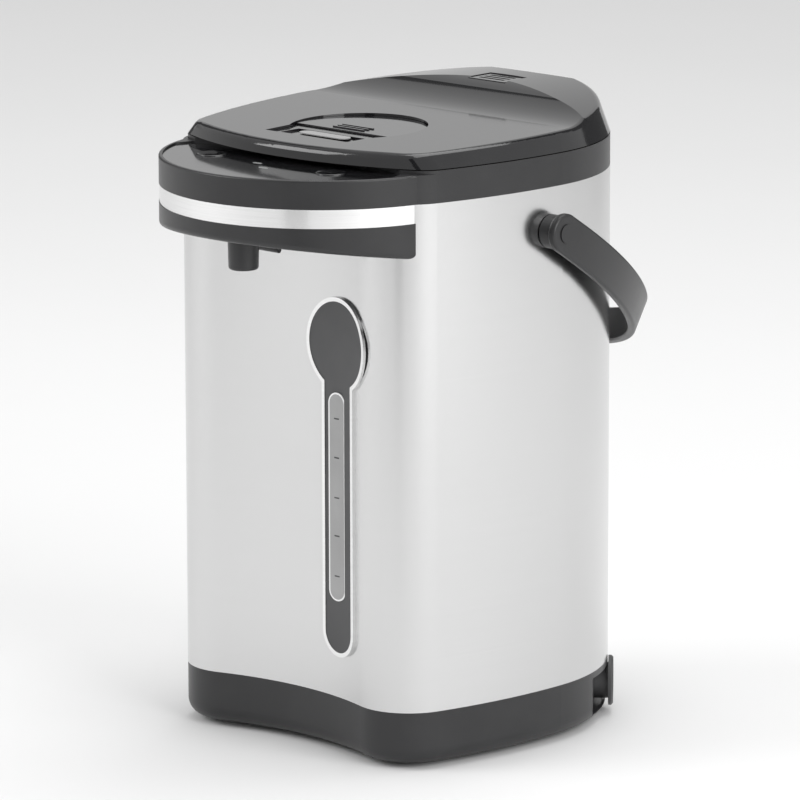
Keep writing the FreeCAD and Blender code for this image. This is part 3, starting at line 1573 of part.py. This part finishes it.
def make_handle_strap():
    body = new_body("handle_strap")
    sketch = new_sketch(body)
    outer = strap_curve(sketch, as_size(0))
    inner = strap_curve(sketch, strap_thickness)
    zero = as_size(0)
    points = [(outer[0], zero), (outer[0], outer[1]), outer[2], (zero, outer[5]), (-outer[2][0], outer[2][1]),
              (-outer[0], outer[1]), (-outer[0], zero), (-inner[0], zero), (-inner[0], inner[1]),
              (-inner[2][0], inner[2][1]), (zero, inner[5]), inner[2], (inner[0], inner[1]), (inner[0], zero)]
    curves = [(1, outer[3], True), (2, outer[4], True), (3, outer[4], True), (4, outer[3], True),
              (8, inner[3], False), (9, inner[4], False), (10, inner[4], False), (11, inner[3], False)]
    draw_loop(sketch, points, curves)
    pad(body, sketch, strap_width, symmetric=True)
    ends = new_sketch(body, "YZ_Plane", height=strap_half_span - strap_thickness, name="RightEnd")
    draw_circle(ends, 0, 0, strap_width / 2)
    pad(body, ends, strap_thickness, "RightEndPad")
    ends = new_sketch(body, "YZ_Plane", height=-strap_half_span, name="LeftEnd")
    draw_circle(ends, 0, 0, strap_width / 2)
    pad(body, ends, strap_thickness, "LeftEndPad")
    doc.recompute()
    round_edges(body, strap_rim, strap_round, "RimRound")
    doc.recompute()
    bore = new_sketch(body, "YZ_Plane", name="Bore")
    draw_circle(bore, 0, 0, stud_radius + running_clearance)
    pocket(body, bore, strap_half_span * 3, "BoreCut", symmetric=True)
    body.Placement = Placement(Vector(0, 0, 0), Rotation(Vector(1, 0, 0), -strap_tilt.value))
    place(body, 0, -pivot_y, steel_top - pivot_drop)
    return keep(body, "handle_strap")


def make_studs():
    studs = []
    gap_end = strap_half_span - strap_thickness - play
    for side in (1, -1):
        body = new_body("stud_right" if side > 0 else "stud_left")
        sketch = new_sketch(body, "XZ_Plane")
        inner_end = pot_radius - 6
        flange_start = pot_radius + 0.05
        outer_end = strap_half_span + 0.6
        section = [(inner_end, 0), (outer_end, 0), (outer_end, stud_radius), (gap_end, stud_radius),
                   (gap_end, stud_flange), (flange_start, stud_flange), (flange_start, stud_radius),
                   (inner_end, stud_radius)]
        draw_loop(sketch, [(x * side, z) for x, z in section])
        feature = body.newObject("PartDesign::Revolution", "Turned")
        feature.Profile = sketch
        feature.ReferenceAxis = (sketch, ["H_Axis"])
        feature.Angle = 360
        place(body, 0, -pivot_y, steel_top - pivot_drop)
        studs.append(body)
    return group("pivot_studs", studs)


make_base_shell()
make_bottom_cover()
make_feet()
make_bottom_screws()
make_inlet_housing()
make_inlet_pins()
make_steel_shell()
make_collar()
make_trim_strip()
make_beak_tray()
make_control_panel()
make_lamps()
make_button("dispense_button", 1)
make_button("reboil_button", -1)
make_panel_board()
make_spout()
make_cup_lever()
make_rod("lever_pin", lever_pin_radius, lever_width + 7, 0, -lever_y, steel_top - lever_pivot_drop)
make_lever_switch()
make_riser()
make_spout_pipe()
make_hose()
make_liner()
make_mouth_ring()
make_heater()
make_thermostat()
make_heat_shield()
make_liner_outlet()
make_pump_housing()
make_impeller()
make_motor()
make_pump_mount()
make_control_board()
gauge_plate("gauge_bezel", bezel_outline, gauge_proud, as_size(0))
gauge_plate("gauge_face", face_outline, gauge_proud - gauge_recess, as_size(0))
gauge_plate("gauge_window", window_outline, gauge_proud - gauge_recess / 2, as_size(0))
make_lid_cover()
make_vent_cap()
make_press_plate()
make_latch_flap()
make_lid_underside()
make_gasket()
make_bellows()
make_latch_bolt()
make_hinge_lug()
make_hinge_bracket()
make_rod("hinge_pin", hinge_pin_radius, (tongue_half + hinge_ear) * 2, 0, hinge_y, hinge_z())
make_handle_strap()
make_studs()

doc.recompute()

faults = []
for item in doc.Objects:
    if "Invalid" in item.State or "Error" in item.State:
        faults.append(item.Name)
for item in EXPORTS:
    if item.Shape.isNull() or not item.Shape.isValid():
        faults.append(item.Label)
if faults:
    raise ValueError("failed: " + ", ".join(faults))

os.makedirs("parts", exist_ok=True)
for item in EXPORTS:
    item.Shape.exportStep(f"parts/{item.Label}.step")
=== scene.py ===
"""Looks of the electric thermo pot: materials, fine shapes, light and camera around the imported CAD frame."""

import json
import logging
import math
from dataclasses import dataclass
from enum import Enum
from typing import Mapping, Sequence, Union

import bmesh
import bpy
from mathutils import Matrix, Vector


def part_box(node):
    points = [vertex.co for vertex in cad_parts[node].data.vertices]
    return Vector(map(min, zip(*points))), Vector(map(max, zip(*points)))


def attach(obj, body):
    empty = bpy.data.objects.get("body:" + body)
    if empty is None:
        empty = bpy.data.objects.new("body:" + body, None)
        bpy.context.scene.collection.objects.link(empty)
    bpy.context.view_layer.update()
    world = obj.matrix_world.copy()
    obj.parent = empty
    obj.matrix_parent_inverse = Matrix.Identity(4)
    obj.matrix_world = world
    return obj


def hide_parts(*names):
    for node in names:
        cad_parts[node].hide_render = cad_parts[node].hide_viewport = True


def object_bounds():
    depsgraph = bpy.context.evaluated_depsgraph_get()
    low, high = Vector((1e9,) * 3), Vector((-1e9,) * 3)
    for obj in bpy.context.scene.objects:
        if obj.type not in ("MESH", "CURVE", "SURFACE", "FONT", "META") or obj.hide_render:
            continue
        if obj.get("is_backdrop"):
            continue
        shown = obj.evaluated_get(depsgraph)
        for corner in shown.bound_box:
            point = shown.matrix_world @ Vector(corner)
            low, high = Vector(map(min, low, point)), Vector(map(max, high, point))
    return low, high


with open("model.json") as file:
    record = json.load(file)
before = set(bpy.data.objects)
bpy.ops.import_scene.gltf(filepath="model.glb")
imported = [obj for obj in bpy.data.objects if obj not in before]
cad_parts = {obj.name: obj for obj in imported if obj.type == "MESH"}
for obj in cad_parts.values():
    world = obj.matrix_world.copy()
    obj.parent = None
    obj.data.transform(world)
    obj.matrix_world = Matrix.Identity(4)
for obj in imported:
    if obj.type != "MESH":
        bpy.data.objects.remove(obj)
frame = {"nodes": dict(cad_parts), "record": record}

LOG = logging.getLogger("thermo_pot")
MM = 0.001
Colour = tuple[float, float, float]


class Body(Enum):
    """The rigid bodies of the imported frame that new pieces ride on."""

    POT = "pot"
    LID = "lid"
    PRESS = "press"
    LATCH = "latch"
    BUTTON_RIGHT = "button_right"
    BUTTON_LEFT = "button_left"
    LEVER = "lever"
    HANDLE = "handle"
    ROTOR = "rotor"


class Slot(Enum):
    """Material slots of the record."""

    BLACK_SATIN = "black_satin"
    BLACK_GLOSS = "black_gloss"
    DARK_PLASTIC = "dark_plastic"
    SATIN_STEEL = "satin_steel"
    BRIGHT_METAL = "bright_metal"
    ALU = "alu"
    CLEAR = "clear"
    SOFT = "soft"


# Shader graphs

Operand = Union["Value", float]


class Value:
    """One output socket of a shader graph; arithmetic on it adds Math nodes."""

    def __init__(self, graph: "Graph", socket: bpy.types.NodeSocket) -> None:
        """Wrap a socket.

        Args:
            graph: The graph that owns the socket.
            socket: The output socket.
        """
        self.graph = graph
        self.socket = socket

    def _math(self, operation: str, first: Operand, second: Operand) -> "Value":
        """Add a Math node and return its result."""
        return self.graph.node("ShaderNodeMath", {0: first, 1: second}, operation=operation)

    def __add__(self, other: Operand) -> "Value":
        """Sum with another value."""
        return self._math("ADD", self, other)

    def __radd__(self, other: float) -> "Value":
        """Sum with a number on the left."""
        return self._math("ADD", other, self)

    def __sub__(self, other: Operand) -> "Value":
        """Difference from another value."""
        return self._math("SUBTRACT", self, other)

    def __rsub__(self, other: float) -> "Value":
        """Difference of a number on the left and this value."""
        return self._math("SUBTRACT", other, self)

    def __mul__(self, other: Operand) -> "Value":
        """Product with another value."""
        return self._math("MULTIPLY", self, other)

    def __rmul__(self, other: float) -> "Value":
        """Product with a number on the left."""
        return self._math("MULTIPLY", other, self)

    def __truediv__(self, other: Operand) -> "Value":
        """Quotient by another value."""
        return self._math("DIVIDE", self, other)

    def __rtruediv__(self, other: float) -> "Value":
        """Quotient of a number on the left by this value."""
        return self._math("DIVIDE", other, self)


class Graph:
    """The node tree of one material."""

    def __init__(self, name: str) -> None:
        """Start an empty material.

        Args:
            name: The material's name.
        """
        self.material = bpy.data.materials.new(name)
        self.material.use_nodes = True
        self.tree = self.material.node_tree
        self.tree.nodes.clear()

    def node(self, kind: str, inputs: Mapping[Union[str, int], object], output: Union[str, int] = 0,
             **settings: object) -> Value:
        """Add any node.

        Args:
            kind: The node's class name.
            inputs: Socket name or number to a Value or a constant.
            output: Name or number of the output that is returned.
            **settings: Properties of the node.

        Returns:
            The chosen output as a Value.
        """
        made = self.tree.nodes.new(kind)
        for key, setting in settings.items():
            setattr(made, key, setting)
        for key, given in inputs.items():
            if isinstance(given, Value):
                self.tree.links.new(given.socket, made.inputs[key])
            else:
                made.inputs[key].default_value = given
        return Value(self, made.outputs[output])

    def place(self, scale: Sequence[float] = (1.0, 1.0, 1.0), turn: float = 0.0) -> Value:
        """Object coordinates, scaled and turned about Z.

        Args:
            scale: Scale along the three axes.
            turn: Angle about Z in degrees.

        Returns:
            The mapped coordinates.
        """
        source = self.node("ShaderNodeTexCoord", {}, "Object")
        return self.node("ShaderNodeMapping",
                         {"Vector": source, "Scale": scale, "Rotation": (0.0, 0.0, math.radians(turn))})

    def noise(self, where: Value, scale: float, detail: float = 3.0, rough: float = 0.5) -> Value:
        """Fractal noise from 0 to 1 at a scale per metre."""
        return self.node("ShaderNodeTexNoise",
                         {"Vector": where, "Scale": scale, "Detail": detail, "Roughness": rough})

    def spread(self, source: Value, low: float, high: float) -> Value:
        """Map the middle of a noise to a range."""
        return self.node("ShaderNodeMapRange", {"Value": source, 1: 0.3, 2: 0.7, 3: low, 4: high})

    def blend(self, factor: Operand, first: Colour, second: Colour) -> Value:
        """Mix two colours."""
        return self.node("ShaderNodeMix", {0: factor, 6: (*first, 1.0), 7: (*second, 1.0)}, 2, data_type="RGBA")

    def bump(self, height: Value, depth: float, strength: float = 1.0) -> Value:
        """A Bump node's normal for a height in metres."""
        return self.node("ShaderNodeBump", {"Height": height, "Distance": depth, "Strength": strength})

    def surface(self, **inputs: object) -> bpy.types.Material:
        """Finish with a Principled shader.

        Args:
            **inputs: Socket names with underscores for spaces, to values.

        Returns:
            The finished material.
        """
        named = {key.replace("_", " "): given for key, given in inputs.items()}
        shader = self.node("ShaderNodeBsdfPrincipled", named)
        target = self.tree.nodes.new("ShaderNodeOutputMaterial")
        self.tree.links.new(shader.socket, target.inputs["Surface"])
        return self.material


@dataclass(frozen=True)
class Moulded:
    """A moulded plastic: colour range, roughness range, grain size and depth."""

    name: str
    dark: Colour
    light: Colour
    rough: tuple[float, float]
    grain: float = 2600.0
    depth: float = 0.00002
    coat: float = 0.0

    def build(self) -> bpy.types.Material:
        """Make the material.

        Returns:
            The material with mottled colour and moulded grain.
        """
        graph = Graph(self.name)
        where = graph.place()
        broad = graph.noise(where, 35.0)
        fine = graph.noise(where, self.grain, 2.0)
        return graph.surface(
            Base_Color=graph.blend(graph.spread(broad, 0.0, 1.0), self.dark, self.light),
            Roughness=graph.spread(broad * 0.5 + fine * 0.5, *self.rough),
            Normal=graph.bump(fine, self.depth),
            Coat_Weight=self.coat,
            Coat_Roughness=0.06,
        )


@dataclass(frozen=True)
class Brushed:
    """A brushed or satin metal with streaks along one direction."""

    name: str
    dark: Colour
    light: Colour
    rough: tuple[float, float]
    streaks: tuple[float, float, float] = (12.0, 12.0, 1400.0)
    depth: float = 0.000004

    def build(self) -> bpy.types.Material:
        """Make the material.

        Returns:
            The metal with fine streaks in colour, roughness and bump.
        """
        graph = Graph(self.name)
        lines = graph.noise(graph.place(self.streaks), 1.0, 4.0, 0.6)
        cloud = graph.noise(graph.place(), 22.0)
        return graph.surface(
            Base_Color=graph.blend(graph.spread(lines, 0.0, 1.0), self.dark, self.light),
            Metallic=1.0,
            Roughness=graph.spread(lines * 0.6 + cloud * 0.4, *self.rough),
            Normal=graph.bump(lines, self.depth),
        )


@dataclass(frozen=True)
class Clear:
    """A clear moulding with a faint tint."""

    name: str
    tint: Colour
    rough: tuple[float, float] = (0.04, 0.1)
    alpha: float = 0.35

    def build(self) -> bpy.types.Material:
        """Make the material.

        Returns:
            The clear plastic.
        """
        graph = Graph(self.name)
        cloud = graph.noise(graph.place(), 60.0)
        paler = tuple(min(1.0, level * 1.1) for level in self.tint)
        return graph.surface(
            Base_Color=graph.blend(cloud, self.tint, paler),
            Roughness=graph.spread(cloud, *self.rough),
            Alpha=self.alpha,
        )


FINISHES = {
    Slot.BLACK_SATIN: Moulded("satin_black", (0.016, 0.016, 0.017), (0.022, 0.022, 0.023), (0.3, 0.4)),
    Slot.BLACK_GLOSS: Moulded("gloss_black", (0.01, 0.01, 0.011), (0.013, 0.013, 0.014), (0.07, 0.11), 900.0, 0.000001,
                              0.3),
    Slot.DARK_PLASTIC: Moulded("dark_grained", (0.05, 0.05, 0.052), (0.07, 0.07, 0.072), (0.4, 0.55)),
    Slot.SATIN_STEEL: Brushed("satin_steel", (0.645, 0.645, 0.645), (0.665, 0.665, 0.665), (0.2, 0.23),
                               (5.0, 5.0, 2600.0), 0.0000006),
    Slot.BRIGHT_METAL: Brushed("bright_metal", (0.78, 0.78, 0.78), (0.86, 0.86, 0.86), (0.12, 0.2)),
    Slot.ALU: Brushed("cast_aluminium", (0.55, 0.55, 0.55), (0.68, 0.68, 0.68), (0.35, 0.5), (300.0, 300.0, 300.0)),
    Slot.CLEAR: Clear("clear_plastic", (0.7, 0.71, 0.71)),
    Slot.SOFT: Moulded("silicone", (0.5, 0.5, 0.49), (0.6, 0.6, 0.58), (0.45, 0.6), 1200.0),
}


def paint_frame(finished: Mapping[Slot, bpy.types.Material]) -> None:
    """Give every CAD node the procedural finish of its slot.

    Args:
        finished: The materials by slot.
    """
    slots = {part["node"]: part["material_slot"] for part in frame["record"]["subparts"]}
    for name, item in frame["nodes"].items():
        item.data.materials.clear()
        item.data.materials.append(finished[Slot(slots[name])])


# Shape tools


def finish_mesh(shape: bmesh.types.BMesh, name: str, sharp: float = 35.0) -> bpy.types.Object:
    """Turn a bmesh into a smooth shaded piece at the origin.

    Args:
        shape: The finished mesh, which is freed.
        name: The piece's name.
        sharp: Angle in degrees above which an edge stays sharp.

    Returns:
        The new object.
    """
    bmesh.ops.remove_doubles(shape, verts=shape.verts, dist=1e-6)
    bmesh.ops.recalc_face_normals(shape, faces=shape.faces)
    mesh = bpy.data.meshes.new(name)
    shape.to_mesh(mesh)
    shape.free()
    mesh.shade_smooth()
    mesh.set_sharp_from_angle(angle=math.radians(sharp))
    item = bpy.data.objects.new(name, mesh)
    bpy.context.scene.collection.objects.link(item)
    return item


def dress(item: bpy.types.Object, body: Body, slot: Slot, finish: bpy.types.Material, *nodes: str) -> None:
    """Give a piece its material and body, and hide the CAD nodes that it stands for.

    Args:
        item: The piece.
        body: The body that it rides on.
        slot: The record's material slot; not used.
        finish: Its material.
        *nodes: CAD nodes that it replaces.
    """
    item.data.materials.clear()
    item.data.materials.append(finish)
    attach(item, body.value)
    if nodes:
        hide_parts(*nodes)
    LOG.info("%s rides on %s", item.name, body.value)


def box_shape(low: Sequence[float], high: Sequence[float], rounding: float = 0.0) -> bmesh.types.BMesh:
    """A box between two corners in millimetres, its upright edges rounded if wanted."""
    shape = bmesh.new()
    size = [(b - a) * MM for a, b in zip(low, high)]
    middle = [(a + b) / 2 * MM for a, b in zip(low, high)]
    matrix = Matrix.Translation(middle) @ Matrix.Diagonal((*size, 1.0))
    bmesh.ops.create_cube(shape, size=1.0, matrix=matrix)
    if rounding:
        upright = [edge for edge in shape.edges if abs(edge.verts[0].co.z - edge.verts[1].co.z) > 1e-6]
        bmesh.ops.bevel(shape, geom=upright, offset=rounding * MM, segments=6, profile=0.5, affect="EDGES",
                        material=-1)
    return shape


def add_box(shape: bmesh.types.BMesh, low: Sequence[float], high: Sequence[float]) -> None:
    """Add a plain box between two corners in millimetres to a mesh."""
    size = [(b - a) * MM for a, b in zip(low, high)]
    middle = [(a + b) / 2 * MM for a, b in zip(low, high)]
    bmesh.ops.create_cube(shape, size=1.0, matrix=Matrix.Translation(middle) @ Matrix.Diagonal((*size, 1.0)))


def slot_plate(left: float, right: float, low: float, high: float, front: float, back: float) -> bmesh.types.BMesh:
    """An upright plate with round ends, its face towards the front, in millimetres."""
    shape = bmesh.new()
    add_box(shape, (left, front, low), (right, back, high))
    across = [edge for edge in shape.edges if abs(edge.verts[0].co.y - edge.verts[1].co.y) > 1e-6]
    bmesh.ops.bevel(shape, geom=across, offset=(right - left) * 0.499 * MM, segments=16, profile=0.5, affect="EDGES",
                    material=-1)
    return shape


# Sub-assemblies


@dataclass
class Gauge:
    """The ring round the window, white as a painted reflection of the pale studio on a bright bezel, and the printed
    scale marks of the water gauge.
    """

    marks: tuple[float, ...] = (97.9, 119.6, 140.1, 161.6, 182.5)
    mark_width: float = 3.4
    mark_height: float = 0.7
    ring: float = 0.9
    lift: float = 0.06

    def build(self, bezel_painted_reflection: bpy.types.Material, print_dark: bpy.types.Material,
              fill: bpy.types.Material) -> None:
        """Make the ring, the grey tube behind the window and the marks.

        Args:
            bezel_painted_reflection: White that paints the bezel's reflection of the pale studio.
            print_dark: Dark print.
            fill: Light grey of the tube.
        """
        low, high = (Vector(corner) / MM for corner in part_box("gauge_window"))
        front = low.y
        middle = (low.x + high.x) / 2
        rows = bmesh.new()
        for height in self.marks:
            add_box(rows, (middle - self.mark_width / 2, front - self.lift, height - self.mark_height / 2),
                    (middle + self.mark_width / 2, front + 0.3, height + self.mark_height / 2))
        dress(finish_mesh(rows, "gauge_marks"), Body.POT, Slot.DARK_PLASTIC, print_dark)
        # The ring's white is a painted reflection: it stands for a bright bezel mirroring the pale studio.
        ring = slot_plate(low.x - self.ring, high.x + self.ring, low.z - self.ring, high.z + self.ring,
                          front + 0.12, front + 0.6)
        dress(finish_mesh(ring, "gauge_ring"), Body.POT, Slot.DARK_PLASTIC, bezel_painted_reflection)
        tube = slot_plate(low.x, high.x, low.z, high.z, front + 0.05, front + 0.4)
        dress(finish_mesh(tube, "gauge_tube"), Body.POT, Slot.DARK_PLASTIC, fill)


@dataclass
class Latch:
    """A light grey strip on the latch flap: a painted highlight that stands for the chrome shine on the flap."""

    highlight_half: float = 17.0
    highlight_depth: float = 8.0
    lift: float = 0.12

    def build(self, highlight_grey: bpy.types.Material) -> None:
        """Make the painted highlight strip.

        Args:
            highlight_grey: Light satin grey that paints the flap's highlight.
        """
        low, high = (Vector(corner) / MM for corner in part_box("latch_flap"))
        middle = (low.y + high.y) / 2
        # The light grey strip is a painted highlight of the flap's chrome shine.
        plate = box_shape((-self.highlight_half, middle - self.highlight_depth / 2, high.z - 0.4),
                          (self.highlight_half, middle + self.highlight_depth / 2, high.z + self.lift), self.highlight_depth * 0.49)
        dress(finish_mesh(plate, "latch_painted_highlight"), Body.LATCH, Slot.BLACK_SATIN, highlight_grey)


# Studio


@dataclass(frozen=True)
class Lamp:
    """One soft area light aimed at a point of the pot."""

    name: str
    place: tuple[float, float, float]
    aim: tuple[float, float, float]
    size: tuple[float, float]
    power: float

    def build(self) -> None:
        """Put the light in the scene."""
        data = bpy.data.lights.new(self.name, "AREA")
        data.shape = "RECTANGLE"
        data.size, data.size_y = self.size
        data.energy = self.power
        item = bpy.data.objects.new(self.name, data)
        bpy.context.scene.collection.objects.link(item)
        item.location = self.place
        item.rotation_euler = (Vector(self.aim) - Vector(self.place)).to_track_quat("-Z", "Y").to_euler()
        item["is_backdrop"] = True


@dataclass(frozen=True)
class Card:
    """An upright card that only reflections see, facing the pot."""

    name: str
    azimuth: float
    distance: float
    size: tuple[float, float]
    level: float

    def build(self) -> None:
        """Put the card in the scene."""
        turn = math.radians(self.azimuth)
        spot = Vector((math.sin(turn) * self.distance, -math.cos(turn) * self.distance, self.size[1] / 2))
        matrix = (Matrix.Translation(spot) @ Matrix.Rotation(turn, 4, "Z") @ Matrix.Rotation(math.pi / 2, 4, "X")
                  @ Matrix.Diagonal((self.size[0], self.size[1], 1.0, 1.0)))
        shape = bmesh.new()
        bmesh.ops.create_grid(shape, x_segments=1, y_segments=1, size=0.5, matrix=matrix)
        mesh = bpy.data.meshes.new(self.name)
        shape.to_mesh(mesh)
        shape.free()
        item = bpy.data.objects.new(self.name, mesh)
        bpy.context.scene.collection.objects.link(item)
        graph = Graph(self.name)
        cloud = graph.noise(graph.place(), 2.0)
        tones = ((self.level,) * 3, (self.level * 1.1,) * 3)
        mesh.materials.append(graph.surface(
            Base_Color=(0.0, 0.0, 0.0, 1.0), Roughness=1.0, Specular_IOR_Level=0.0,
            Emission_Color=graph.blend(cloud, *tones), Emission_Strength=1.0))
        item.visible_camera = False
        item.visible_diffuse = False
        item.visible_shadow = False
        item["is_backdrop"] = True


@dataclass
class Studio:
    """Floor, light and camera."""

    target: Vector
    camera_place: Vector
    lens: float
    roll: float

    def build(self) -> None:
        """Make the floor, the world, the lights and the camera."""
        self._floor()
        self._world()
        for piece in (*LAMPS, *CARDS):
            piece.build()
        self._camera()
        bpy.context.scene.view_settings.view_transform = "Standard"

    def _floor(self) -> None:
        """A plain pale floor that takes the shadow."""
        mesh = bpy.data.meshes.new("floor")
        shape = bmesh.new()
        bmesh.ops.create_grid(shape, x_segments=1, y_segments=1, size=8.0)
        shape.to_mesh(mesh)
        shape.free()
        item = bpy.data.objects.new("floor", mesh)
        bpy.context.scene.collection.objects.link(item)
        graph = Graph("floor")
        cloud = graph.noise(graph.place(), 3.0)
        mesh.materials.append(graph.surface(
            Base_Color=graph.blend(cloud, (0.8, 0.8, 0.8), (0.82, 0.82, 0.82)), Roughness=0.9))
        item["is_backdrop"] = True

    def _world(self) -> None:
        """An even pale surrounding."""
        world = bpy.data.worlds.new("studio")
        bpy.context.scene.world = world
        world.use_nodes = True
        background = world.node_tree.nodes["Background"]
        background.inputs["Color"].default_value = (0.9, 0.9, 0.9, 1.0)
        background.inputs["Strength"].default_value = 0.75

    def _camera(self) -> None:
        """The camera at the photograph's angle."""
        data = bpy.data.cameras.new("camera")
        data.lens = self.lens
        data.sensor_width = 36.0
        data.clip_start = 0.1
        data.clip_end = 50.0
        item = bpy.data.objects.new("camera", data)
        bpy.context.scene.collection.objects.link(item)
        item.location = self.camera_place
        look = (self.target - self.camera_place).to_track_quat("-Z", "Y").to_matrix()
        item.rotation_euler = (look @ Matrix.Rotation(self.roll, 3, "Z")).to_euler()
        bpy.context.scene.camera = item


LAMPS = (
    Lamp("key", (-1.6, -1.9, 1.7), (0.0, 0.0, 0.16), (1.4, 1.4), 26.0),
    Lamp("side", (2.2, -0.2, 1.2), (0.0, 0.0, 0.16), (1.6, 1.6), 30.0),
    Lamp("top", (0.0, 0.6, 2.4), (0.0, 0.0, 0.2), (1.8, 1.8), 22.0),
)

CARDS = (
    Card("card_corner", 24.0, 2.0, (0.55, 3.0), 0.012),
    Card("card_left", -107.0, 2.2, (0.9, 3.0), 0.12),
    Card("card_right", 183.0, 2.2, (1.2, 3.0), 0.1),
)

STUDIO = Studio(target=Vector((-0.02455, 0.01062, 0.1663)), camera_place=Vector((2.2044, -2.3941, 0.8745)),
                lens=278.7, roll=-0.002265)


def note_size(moment: str, sizes: dict[str, list[list[float]]]) -> None:
    """Note the shown object's bounds under a moment's name."""
    low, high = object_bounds()
    sizes[moment] = [list(low), list(high)]


def main() -> None:
    """Build the looks."""
    sizes: dict[str, list[list[float]]] = {}
    note_size("frame", sizes)
    finished = {slot: finish.build() for slot, finish in FINISHES.items()}
    paint_frame(finished)
    # White of the gauge ring: a painted reflection of the pale studio on a bright bezel.
    white = Moulded("gauge_ring_painted_reflection", (0.78, 0.78, 0.78), (0.82, 0.82, 0.82), (0.3, 0.4)).build()
    # Grey of the gauge tube, also used as the latch flap's painted highlight.
    grey = Moulded("tube_grey_and_latch_highlight", (0.3, 0.3, 0.3), (0.34, 0.34, 0.34), (0.3, 0.4)).build()
    Gauge().build(white, finished[Slot.DARK_PLASTIC], grey)
    Latch().build(grey)
    STUDIO.build()
    note_size("finished", sizes)


if __name__ == "__main__":
    logging.basicConfig(level=logging.INFO)
    main()
